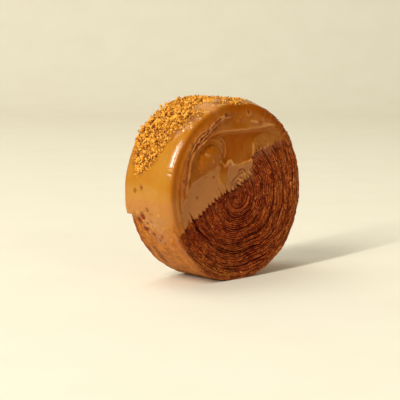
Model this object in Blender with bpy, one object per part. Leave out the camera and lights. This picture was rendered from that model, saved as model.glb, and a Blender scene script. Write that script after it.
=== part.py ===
"""A croissant roll: a wheel of rolled, laminated dough that stands on its edge, half dipped in caramel.

Runs in Blender 4.5. Metres, +Z up. The wheel's axle lies along Y and its shown face looks along -Y.
Two solids are made: the baked roll, and the coat of caramel with the biscuit crumbs that stick to it.
"""

import math
import random

import bmesh
import bpy
from mathutils import Vector, noise

MM = 0.001

# The baked wheel of dough.
WHEEL_RADIUS = 49.7 * MM
WHEEL_WIDTH = 34.0 * MM
EDGE_RADIUS = 3.0 * MM
FOOT_DEPTH = 0.9 * MM  # how much of the round is pressed flat where the wheel stands
# How far the outline is out of round, as (degrees, millimetres outwards).
OUTLINE = (
    (0, 0.3), (20, 0.2), (45, 0.0), (70, -0.6), (95, -0.7), (115, -0.2), (137, 0.7), (165, 0.8),
    (182, 0.7), (205, -0.4), (235, -0.9), (268, 0.3), (297, 0.7), (320, 0.9), (340, 0.4), (360, 0.3),
)

# The strip of dough that is rolled up: its layers show as crests and grooves that wind out from the eye.
TURN_PITCH = 7.8 * MM
LAYERS_PER_TURN = 3
LAYER_GROOVE = 1.0 * MM
TURN_GROOVE = 1.8 * MM
EYE_OFFSET = Vector((-1.3 * MM, 0.0, -4.3 * MM))

# The caramel, which covers the wheel above a slanting dip line.
CARAMEL_GAP = 0.3 * MM  # between the dough and the coat, so that the two solids stay apart
CARAMEL_THICKNESS = 1.1 * MM
DIP_SLOPE = math.radians(31.0)
# The dip line on the shown face, in millimetres: how far along the slope, and how far square over it.
DIP_LINE = (
    (-60, 3.0), (-47, 3.5), (-39, 7.8), (-33, 5.0), (-20, 5.4), (-8, 5.2), (0, 6.0),
    (14, 4.7), (17, 5.0), (20, 9.8), (29, 7.4), (39, 6.6), (47, 3.0), (60, 1.5),
)
DIP_BACK_LEVEL = 4.5 * MM  # height of the dip line on the far face
DIP_BACK_RISE = 11.0 * MM  # how far the line climbs across the tread to the far edge
DIP_TEETH = 0.5 * MM

# The biscuit crumbs on the tread: from the far edge up to a border given as (degrees, y in millimetres).
CRUMB_BORDER = (
    (82, -15), (103, -14), (121, -13), (136, -11), (151, -7), (162, -6), (167, -4), (172, 2), (176, 12),
)
CRUMB_TRIES = 140
CRUMB_RADII = (1.0 * MM, 1.7 * MM)
CRUMB_SEED = 7
CRUMB_BED = 0.3 * MM  # how much thicker the coat is under the crumbs

# How finely the surfaces are divided.
BARE_MARGIN = math.radians(6.0)  # how far the finely divided part of a turn reaches into the covered half
BARE_STEPS = 32
COVERED_STEPS = 10
COAT_STEPS = 38
ARC_STEPS = 3
TREAD_STEPS = 4
COAT_RINGS = 13
DIP_COLUMNS = 54
DIP_ROWS = 7

FACE_RADIUS = WHEEL_RADIUS - EDGE_RADIUS
AXLE_HEIGHT = WHEEL_RADIUS - FOOT_DEPTH
HALF_TREAD = WHEEL_WIDTH / 2 - EDGE_RADIUS
RINGS_PER_TURN = 2 * LAYERS_PER_TURN
RING_STEP = TURN_PITCH / RINGS_PER_TURN
TURN = 2 * math.pi
SEAM_ANGLE = DIP_SLOPE + math.pi / 2  # the middle of the covered half, where each turn is counted from


def clear_scene():
    """Removes every object, such as those of the startup scene."""
    for item in list(bpy.data.objects):
        bpy.data.objects.remove(item)


def smooth_step(low, high, value):
    """0 below low, 1 above high, and a smooth rise between them."""
    share = min(1.0, max(0.0, (value - low) / (high - low)))
    return share * share * (3 - 2 * share)


def bump(distance, width):
    """A smooth hump, 1 in its middle and 0 from width outwards."""
    return 1 - smooth_step(0.0, width, abs(distance))


def interpolate(table, value):
    """Value of a table of (position, value) pairs, smooth between them and level beyond its ends."""
    for (start, start_value), (end, end_value) in zip(table, table[1:]):
        if value <= end:
            return start_value + (end_value - start_value) * smooth_step(start, end, value)
    return table[-1][1]


def evenly(start, end, steps):
    """Values from start up to, but without, end."""
    return [start + (end - start) * step / steps for step in range(steps)]


def turn_angles(covered_steps, bare_steps):
    """Angles of one turn from the seam, with their own spacing over the covered part and the bare part."""
    bare_start = DIP_SLOPE + math.pi - BARE_MARGIN
    bare_end = DIP_SLOPE + TURN + BARE_MARGIN
    half = covered_steps // 2
    angles = evenly(SEAM_ANGLE, bare_start, half)
    angles += evenly(bare_start, bare_end, bare_steps)
    angles += evenly(bare_end, SEAM_ANGLE + TURN, half)
    return angles + [SEAM_ANGLE + TURN]


def height_over_dip(x, z):
    """Height of a point of the wheel over the line through the axle that has the dip line's slope."""
    return z * math.cos(DIP_SLOPE) - x * math.sin(DIP_SLOPE)


def place(radius, angle, y):
    """A point of the wheel, whose outline is a little out of round, from the axle's middle."""
    wave = interpolate(OUTLINE, math.degrees(angle % TURN)) * MM
    reach = radius + wave * (radius / WHEEL_RADIUS) ** 3
    off_centre = EYE_OFFSET * max(0.0, 1 - radius / FACE_RADIUS)
    return Vector((reach * math.cos(angle), y, reach * math.sin(angle))) + off_centre


def edge_rows(angles, growth, tread_steps):
    """Rows of points over the front edge, the tread and the back edge, moved out by growth(angle, y)."""
    rows = []
    for side in (-1, 1):
        arc = []
        for step in range(ARC_STEPS + 1):
            lean = math.pi / 2 * step / ARC_STEPS
            row = []
            for angle in angles:
                reach = EDGE_RADIUS + growth(angle, side * HALF_TREAD)
                radius = FACE_RADIUS + reach * math.sin(lean)
                row.append(place(radius, angle, side * (HALF_TREAD + reach * math.cos(lean))))
            arc.append(row)
        rows.append(arc)
    tread = []
    for step in range(1, tread_steps):
        y = HALF_TREAD * (2 * step / tread_steps - 1)
        tread.append([place(WHEEL_RADIUS + growth(angle, y), angle, y) for angle in angles])
    front, back = rows
    return front + tread + back[::-1]


def solid_from_rows(name, rows):
    """A closed mesh over rows of points, whose equal points are joined into one."""
    mesh = bmesh.new()
    lattice = [[mesh.verts.new(point) for point in row] for row in rows]
    for row, next_row in zip(lattice, lattice[1:]):
        for step in range(len(row) - 1):
            mesh.faces.new((row[step], row[step + 1], next_row[step + 1], next_row[step]))
    bmesh.ops.remove_doubles(mesh, verts=mesh.verts, dist=1e-7)
    bmesh.ops.recalc_face_normals(mesh, faces=mesh.faces)
    return object_from(name, mesh)


def object_from(name, mesh):
    """Puts a bmesh into the scene as an object."""
    data = bpy.data.meshes.new(name)
    mesh.to_mesh(data)
    mesh.free()
    made = bpy.data.objects.new(name, data)
    bpy.context.scene.collection.objects.link(made)
    return made


def groove_depth(ring, point):
    """How far a ring lies under the crests: even rings are grooves, one in each turn the deepest."""
    if ring % 2:
        depth = 0.35 * LAYER_GROOVE
    elif ring % RINGS_PER_TURN:
        depth = LAYER_GROOVE
    else:
        depth = TURN_GROOVE
    ruffle = 0.5 * noise.noise(point / (6 * MM)) + 0.5 * noise.noise(point / (2.5 * MM))
    return depth * (1 + 0.6 * ruffle)


def layered_face(angles, side):
    """Rows of a face that follow the rolled layers, each a pitch further out after one turn."""
    rows = []
    for ring in range(-RINGS_PER_TURN, math.ceil(FACE_RADIUS / RING_STEP) + 1):
        row = []
        for angle in angles:
            turns = (angle - SEAM_ANGLE) / TURN
            radius = min(FACE_RADIUS, max(0.0, (ring + RINGS_PER_TURN * turns) * RING_STEP))
            point = place(radius, angle, side * WHEEL_WIDTH / 2)
            fade = smooth_step(0.0, 2 * RING_STEP, radius)
            fade *= smooth_step(0.0, 1.5 * RING_STEP, FACE_RADIUS - radius)
            over_dip = height_over_dip(point.x, point.z) - dip_height(point)
            fade *= 1 - smooth_step(1 * MM, 4 * MM, over_dip)
            point.y -= side * groove_depth(ring, point) * fade
            row.append(point)
        rows.append(row)
    return rows


def baked_roll():
    """The wheel of dough, with layered faces, a plain tread and a flat foot."""
    angles = turn_angles(COVERED_STEPS, BARE_STEPS)
    rows = layered_face(angles, -1)
    rows += edge_rows(angles, lambda angle, y: 0.0, TREAD_STEPS)
    rows += layered_face(angles, 1)[::-1]
    for row in rows:
        for point in row:
            point.z = max(point.z, -AXLE_HEIGHT)
    roll = solid_from_rows("baked_roll", rows)
    merge_flat_faces(roll)
    return roll


def merge_flat_faces(item):
    """Joins neighbouring faces that lie in one plane, then splits what is left into triangles."""
    mesh = bmesh.new()
    mesh.from_mesh(item.data)
    bmesh.ops.triangulate(mesh, faces=mesh.faces)
    bmesh.ops.dissolve_limit(
        mesh, angle_limit=math.radians(0.05), verts=mesh.verts, edges=mesh.edges
    )
    bmesh.ops.triangulate(mesh, faces=mesh.faces)
    mesh.to_mesh(item.data)
    mesh.free()


def dip_height(point):
    """Height of the caramel's edge over the axle's slanting line, near a point of the wheel."""
    along = point.x * math.cos(DIP_SLOPE) + point.z * math.sin(DIP_SLOPE)
    front_side = smooth_step(WHEEL_WIDTH / 4, -WHEEL_WIDTH / 2, point.y)
    level = DIP_BACK_LEVEL + (interpolate(DIP_LINE, along / MM) * MM - DIP_BACK_LEVEL) * front_side
    teeth = math.sin(TURN * along / (TURN_PITCH / LAYERS_PER_TURN)) * DIP_TEETH
    teeth += 1.2 * MM * noise.noise(Vector((along / (5 * MM), point.y / (12 * MM), 3.0)))
    far_side = smooth_step(-3 * MM, 0.9 * HALF_TREAD, point.y)
    return level + teeth + DIP_BACK_RISE * far_side * smooth_step(0.0, -WHEEL_RADIUS, along)


def dip_block():
    """A block over the dip line, cut out of which the coat keeps its toothed edge."""
    reach = WHEEL_RADIUS + 6 * MM
    depth = WHEEL_WIDTH / 2 + 6 * MM
    along_axis = Vector((math.cos(DIP_SLOPE), 0.0, math.sin(DIP_SLOPE)))
    up_axis = Vector((-math.sin(DIP_SLOPE), 0.0, math.cos(DIP_SLOPE)))
    mesh = bmesh.new()
    bmesh.ops.create_grid(mesh, x_segments=DIP_COLUMNS, y_segments=DIP_ROWS, size=1.0)
    for vert in mesh.verts:
        foot = along_axis * (vert.co.x * reach) + Vector((0.0, vert.co.y * depth, 0.0))
        vert.co = foot + up_axis * dip_height(foot)
    lid = bmesh.ops.extrude_face_region(mesh, geom=list(mesh.faces))
    for item in lid["geom"]:
        if isinstance(item, bmesh.types.BMVert):
            item.co += up_axis * (2 * reach)
    bmesh.ops.recalc_face_normals(mesh, faces=mesh.faces)
    return object_from("dip_block", mesh)


def ridge_along(point, path, width):
    """A hump along a line of (x, z) points, 1 on the line and 0 from width outwards."""
    nearest = width
    here = Vector((point.x, point.z))
    for start, end in zip(path, path[1:]):
        start, end = Vector(start) * MM, Vector(end) * MM
        run = end - start
        share = min(1.0, max(0.0, (here - start).dot(run) / run.length_squared))
        nearest = min(nearest, (here - start - run * share).length)
    return bump(nearest, width)


# The folds that the caramel set in on the shown face, as (x, z) in millimetres from the axle.
UPPER_FOLD = ((-25, 29.5), (-16, 33), (7, 34), (28, 34))
OUTER_FOLD = ((-32, 24), (-37, 15), (-41, 6), (-42, -4))
WAVY_FOLD = ((-14, 17.5), (-7, 16), (2.5, 14.5), (10, 16.5))
SWIRL_MIDDLE = Vector((-22, 19.5)) * MM
SWIRL_RADIUS = 9.0 * MM


def front_relief(point, radius):
    """How much thicker the caramel is on the shown face: a border, a few folds, a swirl and a pool."""
    relief = 0.7 * MM * bump(radius - 0.97 * FACE_RADIUS, 5 * MM)
    relief += 1.3 * MM * ridge_along(point, UPPER_FOLD, 5 * MM)
    relief += 0.9 * MM * ridge_along(point, OUTER_FOLD, 4 * MM)
    relief += 0.8 * MM * ridge_along(point, WAVY_FOLD, 3.5 * MM)
    from_swirl = (Vector((point.x, point.z)) - SWIRL_MIDDLE).length
    relief += 1.8 * MM * bump(from_swirl, SWIRL_RADIUS)
    relief += 0.3 * MM * noise.noise(point / (9 * MM))
    return relief


def back_relief(point, radius):
    """How much thicker the caramel is on the far face: a border and slow waves."""
    relief = 0.6 * MM * bump(radius - 0.97 * FACE_RADIUS, 5 * MM)
    return relief + 0.5 * MM * noise.noise(point / (12 * MM))


def crumb_border(degrees):
    """How near to the shown face the crumbs reach on the tread, at an angle round the wheel."""
    if CRUMB_BORDER[0][0] <= degrees <= CRUMB_BORDER[-1][0]:
        return interpolate(CRUMB_BORDER, degrees) * MM
    return WHEEL_WIDTH


def edge_growth(angle, y):
    """Thickness of the coat over the tread and the edges, with slow waves and a bed for the crumbs."""
    around = Vector((math.cos(angle), y / (20 * MM), math.sin(angle)))
    waves = 0.35 * MM * noise.noise(2.5 * around)
    bed = CRUMB_BED * smooth_step(0.0, 3 * MM, y - crumb_border(math.degrees(angle % TURN)))
    return CARAMEL_GAP + CARAMEL_THICKNESS + waves + bed


def coat_face(angles, side, rings, relief):
    """Rows of one face of the coat's outside, from the middle out."""
    rows = []
    for ring in range(rings):
        radius = FACE_RADIUS * ring / rings
        blend = smooth_step(0.8 * FACE_RADIUS, FACE_RADIUS, radius)
        row = []
        for angle in angles:
            point = place(radius, angle, 0.0)
            growth = CARAMEL_GAP + CARAMEL_THICKNESS + relief(point, radius)
            growth += (edge_growth(angle, side * HALF_TREAD) - growth) * blend
            row.append(Vector((point.x, side * (WHEEL_WIDTH / 2 + growth), point.z)))
        rows.append(row)
    return rows


def closed_wheel(name, angles, front, growth, back, tread_steps):
    """A whole wheel from the rows of its two faces and the growth of its edge."""
    return solid_from_rows(name, front + edge_rows(angles, growth, tread_steps) + back[::-1])


def coat_outside():
    """The wheel as large as the caramel makes it."""
    angles = turn_angles(COAT_STEPS, COAT_STEPS // 4)
    front = coat_face(angles, -1, COAT_RINGS, front_relief)
    back = coat_face(angles, 1, COAT_RINGS // 2, back_relief)
    return closed_wheel("coat_outside", angles, front, edge_growth, back, 2 * TREAD_STEPS)


def coat_inside():
    """The wheel of dough with its grooves filled, grown by the gap that keeps the two solids apart."""
    angles = turn_angles(COVERED_STEPS, BARE_STEPS)
    faces = []
    for side in (-1, 1):
        y = side * (WHEEL_WIDTH / 2 + CARAMEL_GAP)
        faces.append([[place(0.0, angle, y) for angle in angles]])
    return closed_wheel(
        "coat_inside", angles, faces[0], lambda angle, y: CARAMEL_GAP, faces[1], TREAD_STEPS
    )


def crumb_spots(draws):
    """Places on the tread, spread evenly over the crumbs' field, as angle, y and size."""
    first, last = CRUMB_BORDER[0][0], CRUMB_BORDER[-1][0]
    golden = (math.sqrt(5) - 1) / 2
    spots = []
    for step in range(CRUMB_TRIES):
        degrees = first + (last - first) * (step + 0.5) / CRUMB_TRIES
        y = HALF_TREAD * (2 * (step * golden % 1) - 1)
        if y > crumb_border(degrees):
            spots.append((math.radians(degrees), y, draws.uniform(*CRUMB_RADII)))
    return spots


def crumb(index, angle, y, radius, draws):
    """One rough biscuit crumb, sunk a little into the caramel."""
    mesh = bmesh.new()
    bmesh.ops.create_icosphere(mesh, subdivisions=1, radius=radius)
    for vert in mesh.verts:
        vert.co *= draws.uniform(0.75, 1.15)
        vert.co.z *= 0.75
    outward = Vector((math.cos(angle), 0.0, math.sin(angle)))
    turn = outward.to_track_quat("Z", "Y").to_matrix().to_4x4()
    bmesh.ops.transform(mesh, matrix=turn, verts=mesh.verts)
    surface = place(WHEEL_RADIUS + edge_growth(angle, y), angle, y)
    bmesh.ops.translate(mesh, vec=surface + outward * 0.15 * radius, verts=mesh.verts)
    return object_from(f"crumb_{index:03d}", mesh)


def crumb_collection():
    """All the crumbs, in a collection of their own."""
    draws = random.Random(CRUMB_SEED)
    crumbs = bpy.data.collections.new("crumbs")
    bpy.context.scene.collection.children.link(crumbs)
    for index, (angle, y, radius) in enumerate(crumb_spots(draws)):
        item = crumb(index, angle, y, radius, draws)
        bpy.context.scene.collection.objects.unlink(item)
        crumbs.objects.link(item)
    return crumbs


def combine(item, operation, other, solver="EXACT"):
    """Applies a Boolean with an object or a collection, which is then removed."""
    modifier = item.modifiers.new(operation.lower(), "BOOLEAN")
    modifier.operation = operation
    modifier.solver = solver
    others = [other]
    if isinstance(other, bpy.types.Collection):
        modifier.operand_type = "COLLECTION"
        modifier.collection = other
        others = list(other.objects)
    else:
        modifier.object = other
    graph = bpy.context.evaluated_depsgraph_get()
    result = bpy.data.meshes.new_from_object(item.evaluated_get(graph))
    item.modifiers.clear()
    item.data = result
    for used in others:
        bpy.data.objects.remove(used)


def caramel_coat():
    """The coat of caramel over the upper part of the wheel, with the crumbs joined to it."""
    coat = coat_outside()
    coat.name = "caramel_coat"
    combine(coat, "INTERSECT", dip_block())
    combine(coat, "DIFFERENCE", coat_inside())
    crumbs = crumb_collection()
    combine(coat, "UNION", crumbs, solver="MANIFOLD")
    bpy.data.collections.remove(crumbs)
    return coat


def finish(name, colour, roughness):
    """A plain material for a food."""
    material = bpy.data.materials.new(name)
    material.use_nodes = True
    shader = material.node_tree.nodes["Principled BSDF"]
    shader.inputs["Base Color"].default_value = (*colour, 1.0)
    shader.inputs["Roughness"].default_value = roughness
    return material


def stand_on_floor(items):
    """Moves the objects together so that the middle of their box's base is at the origin."""
    points = [vert.co for item in items for vert in item.data.vertices]
    low = Vector([min(point[axis] for point in points) for axis in range(3)])
    high = Vector([max(point[axis] for point in points) for axis in range(3)])
    base = Vector(((low.x + high.x) / 2, (low.y + high.y) / 2, low.z))
    for item in items:
        for vert in item.data.vertices:
            vert.co -= base


def main():
    clear_scene()
    roll = baked_roll()
    roll.data.materials.append(finish("baked dough", (0.25, 0.08, 0.025), 0.7))
    coat = caramel_coat()
    coat.data.materials.clear()
    coat.data.materials.append(finish("caramel", (0.55, 0.25, 0.07), 0.3))
    stand_on_floor((roll, coat))


main()
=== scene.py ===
"""Looks of a croissant roll: a wheel of laminated dough, half dipped in caramel and strewn with biscuit crumbs.

Lengths in the tables and classes are millimetres from the middle of the wheel's axle: x to the right and z up
as seen from the shown face, which looks along -y. Meshes are made in metres in the row frame.
"""

import logging
import math
from dataclasses import dataclass, replace
from enum import Enum
from itertools import combinations
from typing import ClassVar

import bpy
import numpy as np
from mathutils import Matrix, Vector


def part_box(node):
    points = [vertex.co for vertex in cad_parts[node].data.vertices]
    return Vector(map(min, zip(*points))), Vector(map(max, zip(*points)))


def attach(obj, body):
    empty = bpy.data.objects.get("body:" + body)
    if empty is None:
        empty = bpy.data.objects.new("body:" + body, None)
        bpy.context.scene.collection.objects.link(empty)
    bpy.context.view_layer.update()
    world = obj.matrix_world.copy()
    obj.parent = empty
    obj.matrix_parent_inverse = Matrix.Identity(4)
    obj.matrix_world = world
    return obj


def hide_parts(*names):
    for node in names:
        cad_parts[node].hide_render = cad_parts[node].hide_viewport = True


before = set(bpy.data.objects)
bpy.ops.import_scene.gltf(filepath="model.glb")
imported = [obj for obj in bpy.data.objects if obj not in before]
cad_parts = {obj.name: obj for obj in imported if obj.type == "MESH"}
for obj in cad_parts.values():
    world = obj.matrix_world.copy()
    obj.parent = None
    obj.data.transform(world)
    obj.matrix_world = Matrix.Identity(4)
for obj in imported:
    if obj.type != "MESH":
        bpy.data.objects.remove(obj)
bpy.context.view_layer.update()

MM = 0.001
TURN = 2 * math.pi
# Points that are closer than this, in metres, are one point.
SAME_PLACE = 1e-7
# Millimetres along the tread to one degree round the wheel.
DEGREE = 0.87
Array = np.ndarray
Table = tuple[tuple[float, float], ...]
log = logging.getLogger("croissant_roll")


class Side(Enum):
    """The wheel's two faces, by the sign of y."""

    SHOWN = -1
    FAR = 1


class Attribute(Enum):
    """What the meshes carry for their finishes, a number for each point."""

    # The dough's darkness: painted shade in grooves and sunk rings, with its own random tone.
    TONE_AND_SHADE = "depth"
    TINT = "tint"
    PLY = "ply"
    AMBER = "amber"
    CHALK = "chalk"
    GRIME = "grime"
    PALE = "pale"
    FILM = "film"
    SHADE = "shade"


# ---------------------------------------------------------------- sums on arrays


def ease(low: float, high: float, value: Array) -> Array:
    """A smooth rise between two values.

    Args:
        low: Where the rise starts.
        high: Where it ends, which may be less than low.
        value: The places to work it out for.

    Returns:
        0 before low, 1 after high.
    """
    share = np.clip((value - low) / (high - low), 0.0, 1.0)
    return share * share * (3 - 2 * share)


def hump(distance: Array, width: float) -> Array:
    """1 where a distance is 0, falling smoothly to 0 at the width."""
    return 1 - ease(0.0, width, np.abs(distance))


def lookup(table: Table, value: Array) -> Array:
    """Reads a table, smoothly between its entries and level beyond its ends.

    Args:
        table: Pairs of place and value, in rising order of place.
        value: The places to read it at.

    Returns:
        The values there.
    """
    places, values = np.array(table, dtype=float).T
    entry = np.clip(np.searchsorted(places, value, side="right") - 1, 0, len(places) - 2)
    share = ease(0.0, 1.0, (value - places[entry]) / (places[entry + 1] - places[entry]))
    return values[entry] + (values[entry + 1] - values[entry]) * share


def beside_path(x: Array, z: Array, path: Table) -> Array:
    """Signed distance of points from a line through some (x, z) points.

    Args:
        x: The points' x.
        z: The points' z.
        path: The line's corners.

    Returns:
        The distance of each point, positive on the left of the line as it runs.
    """
    nearest = np.full(np.broadcast(x, z).shape, np.inf)
    sign = np.ones(nearest.shape)
    for (x0, z0), (x1, z1) in zip(path, path[1:]):
        run = np.array((x1 - x0, z1 - z0))
        share = np.clip(((x - x0) * run[0] + (z - z0) * run[1]) / (run @ run), 0.0, 1.0)
        away = np.hypot(x - x0 - share * run[0], z - z0 - share * run[1])
        nearer = away < nearest
        nearest = np.where(nearer, away, nearest)
        sign = np.where(nearer, np.sign(run[0] * (z - z0) - run[1] * (x - x0)), sign)
    return nearest * sign


def inside_loop(x: Array, z: Array, loop: Table) -> Array:
    """How far points are inside a closed line, negative outside it.

    Args:
        x: The points' x.
        z: The points' z.
        loop: The line's corners, either way round.

    Returns:
        The distance of each point from the line, with its sign.
    """
    closed = (*loop, loop[0])
    within = np.zeros(np.broadcast(x, z).shape, dtype=bool)
    for (x0, z0), (x1, z1) in zip(closed, closed[1:]):
        if z0 != z1:
            within ^= ((z0 > z) != (z1 > z)) & (x < x0 + (x1 - x0) * (z - z0) / (z1 - z0))
    return np.abs(beside_path(x, z, closed)) * np.where(within, 1.0, -1.0)


def bead(distance: Array, width: float) -> Array:
    """A round-backed ridge: 1 where a distance is 0, falling steeply to 0 at the width."""
    return np.sqrt(np.clip(1 - (distance / width) ** 2, 0.0, 1.0))


def ring_points(reach: Array, angle: Array, y: Array) -> Array:
    """Points round the axle.

    Args:
        reach: Their distance from the axle.
        angle: Their angle round it.
        y: Their place along it.

    Returns:
        An (..., 3) array, in millimetres.
    """
    return np.stack(np.broadcast_arrays(reach * np.cos(angle), y, reach * np.sin(angle)), -1)


class Waves:
    """Smooth random waves in space, the same on each run."""

    LATTICE = 32
    # How far finer waves are moved along, so that they don't line up with the coarser ones.
    SHIFT = 7.3

    def __init__(self, seed: int) -> None:
        """Draws the heights at the lattice's points from a seed."""
        shape = (self.LATTICE,) * 3
        self.heights = np.random.default_rng(seed).uniform(-1.0, 1.0, shape)

    def one(self, x: Array, y: Array, z: Array) -> Array:
        """Waves of one unit's length.

        Args:
            x: First coordinate, in wavelengths.
            y: Second coordinate.
            z: Third coordinate.

        Returns:
            Heights from -1 to 1.
        """
        floors, shares = [], []
        for values in np.broadcast_arrays(x, y, z):
            low = np.floor(values)
            floors.append(low.astype(int))
            part = values - low
            shares.append(part * part * (3 - 2 * part))
        total = 0.0
        for corner in range(8):
            step = [(corner >> axis) & 1 for axis in range(3)]
            index = tuple((low + up) % self.LATTICE for low, up in zip(floors, step))
            weight = 1.0
            for part, up in zip(shares, step):
                weight = weight * (part if up else 1 - part)
            total = total + weight * self.heights[index]
        return total

    def at(self, x: Array, y: Array, z: Array, length: float, octaves: int = 1) -> Array:
        """Waves with finer ones on top.

        Args:
            x: First coordinate, in millimetres.
            y: Second coordinate.
            z: Third coordinate.
            length: The longest wave's length.
            octaves: How many sizes of waves, each half as long and high as the one before.

        Returns:
            Heights, mostly from -1 to 1.
        """
        total = 0.0
        for octave in range(octaves):
            fine = 2.0**octave
            shift = self.SHIFT * octave
            total = total + self.one(x * fine / length + shift, y * fine / length, z * fine / length) / fine
        return total


# ---------------------------------------------------------------- meshes and finishes


def linear(code: str) -> tuple[float, float, float, float]:
    """The linear colour of an sRGB hex value.

    Args:
        code: Six hex digits after a hash.

    Returns:
        Red, green, blue and 1.
    """
    parts = [int(code[start : start + 2], 16) / 255 for start in (1, 3, 5)]
    red, green, blue = [c / 12.92 if c <= 0.04045 else ((c + 0.055) / 1.055) ** 2.4 for c in parts]
    return (red, green, blue, 1.0)


def mesh_object(
    name: str,
    points: Array,
    faces: Array,
    values: dict[Attribute, Array],
    smooth: bool = True,
) -> bpy.types.Object:
    """Makes an object of triangles.

    Args:
        name: The piece's name.
        points: An (n, 3) array in metres.
        faces: An (m, 3) array of point numbers.
        values: A number for each point, for each attribute.
        smooth: Whether it is shaded smooth.

    Returns:
        The object, linked to the scene.
    """
    mesh = bpy.data.meshes.new(name)
    mesh.vertices.add(len(points))
    mesh.vertices.foreach_set("co", points.astype(np.float32).ravel())
    mesh.loops.add(faces.size)
    mesh.loops.foreach_set("vertex_index", faces.astype(np.int32).ravel())
    mesh.polygons.add(len(faces))
    mesh.polygons.foreach_set("loop_start", np.arange(0, faces.size, 3, dtype=np.int32))
    mesh.update(calc_edges=True)
    mesh.validate()
    for attribute, numbers in values.items():
        layer = mesh.attributes.new(attribute.value, "FLOAT", "POINT")
        layer.data.foreach_set("value", numbers.astype(np.float32).ravel())
    mesh.polygons.foreach_set("use_smooth", np.full(len(faces), smooth))
    made = bpy.data.objects.new(name, mesh)
    bpy.context.scene.collection.objects.link(made)
    return made


def lattice_faces(rows: int, columns: int, wrap: bool = False) -> Array:
    """Triangles over a lattice of points that is numbered row by row.

    Args:
        rows: How many rows.
        columns: How many points in a row.
        wrap: Whether each row's end meets its start.

    Returns:
        An (m, 3) array of point numbers.
    """
    last = columns if wrap else columns - 1
    row, column = np.meshgrid(np.arange(rows - 1), np.arange(last), indexing="ij")
    beside = (column + 1) % columns
    low, low_next = row * columns + column, row * columns + beside
    high, high_next = low + columns, low_next + columns
    first = np.stack((low, low_next, high_next), -1).reshape(-1, 3)
    second = np.stack((low, high_next, high), -1).reshape(-1, 3)
    return np.concatenate((first, second))


def weld(points: Array, faces: Array) -> tuple[Array, Array, Array]:
    """Joins points that share a place, and drops the triangles that this closes up.

    Args:
        points: An (n, 3) array in metres.
        faces: An (m, 3) array of point numbers.

    Returns:
        The points, the faces, and the old number of each point that is kept.
    """
    places = np.round(points / SAME_PLACE).astype(np.int64)
    _, kept, number = np.unique(places, axis=0, return_index=True, return_inverse=True)
    faces = number.reshape(-1)[faces]
    whole = (faces[:, 0] != faces[:, 1]) & (faces[:, 1] != faces[:, 2]) & (faces[:, 0] != faces[:, 2])
    return points[kept], faces[whole], kept


class NodeTree:
    """A material's nodes."""

    def __init__(self, name: str) -> None:
        """Starts a material with one shader and its output."""
        self.material = bpy.data.materials.new(name)
        self.material.use_nodes = True
        self.tree = self.material.node_tree
        self.shader = self.tree.nodes["Principled BSDF"]

    def add(self, kind: str, inputs: dict | None = None, **settings: object) -> bpy.types.Node:
        """Adds a node with its settings and links.

        Args:
            kind: The node's type.
            inputs: What goes into its sockets, by name or number: a value or another node's socket.
            **settings: The node's own properties.

        Returns:
            The node.
        """
        node = self.tree.nodes.new(kind)
        for key, value in settings.items():
            setattr(node, key, value)
        self.feed(node, inputs or {})
        return node

    def feed(self, node: bpy.types.Node, inputs: dict) -> None:
        """Sets or links a node's sockets.

        Args:
            node: The node.
            inputs: What goes into its sockets, by name or number.
        """
        for key, value in inputs.items():
            if isinstance(value, bpy.types.NodeSocket):
                self.tree.links.new(value, node.inputs[key])
            else:
                node.inputs[key].default_value = value

    def attribute(self, wanted: Attribute) -> bpy.types.NodeSocket:
        """The number that the mesh carries under a name."""
        return self.add("ShaderNodeAttribute", attribute_name=wanted.value).outputs["Fac"]

    def mix(self, share: object, first: object, second: object) -> bpy.types.NodeSocket:
        """A colour between two.

        Args:
            share: How much of the second, a value or a socket.
            first: A colour or a socket.
            second: A colour or a socket.

        Returns:
            The mixed colour's socket.
        """
        node = self.add("ShaderNodeMix", {0: share, 6: first, 7: second}, data_type="RGBA")
        return node.outputs[2]

    def number(self, operation: str, *values: object) -> bpy.types.NodeSocket:
        """A sum on one or more numbers or sockets, clamped to 0 and 1."""
        inputs = dict(enumerate(values))
        return self.add("ShaderNodeMath", inputs, operation=operation, use_clamp=True).outputs[0]

    def span(self, value: object, low: float, high: float, start: float, end: float) -> bpy.types.NodeSocket:
        """A number carried from one range to another.

        Args:
            value: A socket.
            low: Where its range starts.
            high: Where its range ends.
            start: What low becomes.
            end: What high becomes.

        Returns:
            The new number's socket.
        """
        inputs = {"Value": value, "From Min": low, "From Max": high, "To Min": start, "To Max": end}
        return self.add("ShaderNodeMapRange", inputs).outputs["Result"]

    def grain(self, size: float, detail: float = 3.0, roughness: float = 0.55) -> bpy.types.NodeSocket:
        """Mottling of a real size.

        Args:
            size: The length of its waves in millimetres.
            detail: How many finer waves lie on them.
            roughness: How strong the finer ones are.

        Returns:
            A number's socket, mostly from 0.3 to 0.7.
        """
        place = self.add("ShaderNodeTexCoord").outputs["Object"]
        inputs = {"Vector": place, "Scale": 1.0 / (size * MM), "Detail": detail, "Roughness": roughness}
        return self.add("ShaderNodeTexNoise", inputs).outputs["Fac"]

    def bumps(self, height: object, depth: float, under: object | None = None) -> bpy.types.NodeSocket:
        """Fine relief.

        Args:
            height: A number's socket.
            depth: What a height of 1 is in millimetres.
            under: Coarser relief that this lies on.

        Returns:
            The normal's socket.
        """
        inputs = {"Height": height, "Distance": depth * MM, "Strength": 1.0}
        if under is not None:
            inputs["Normal"] = under
        return self.add("ShaderNodeBump", inputs).outputs["Normal"]


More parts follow.
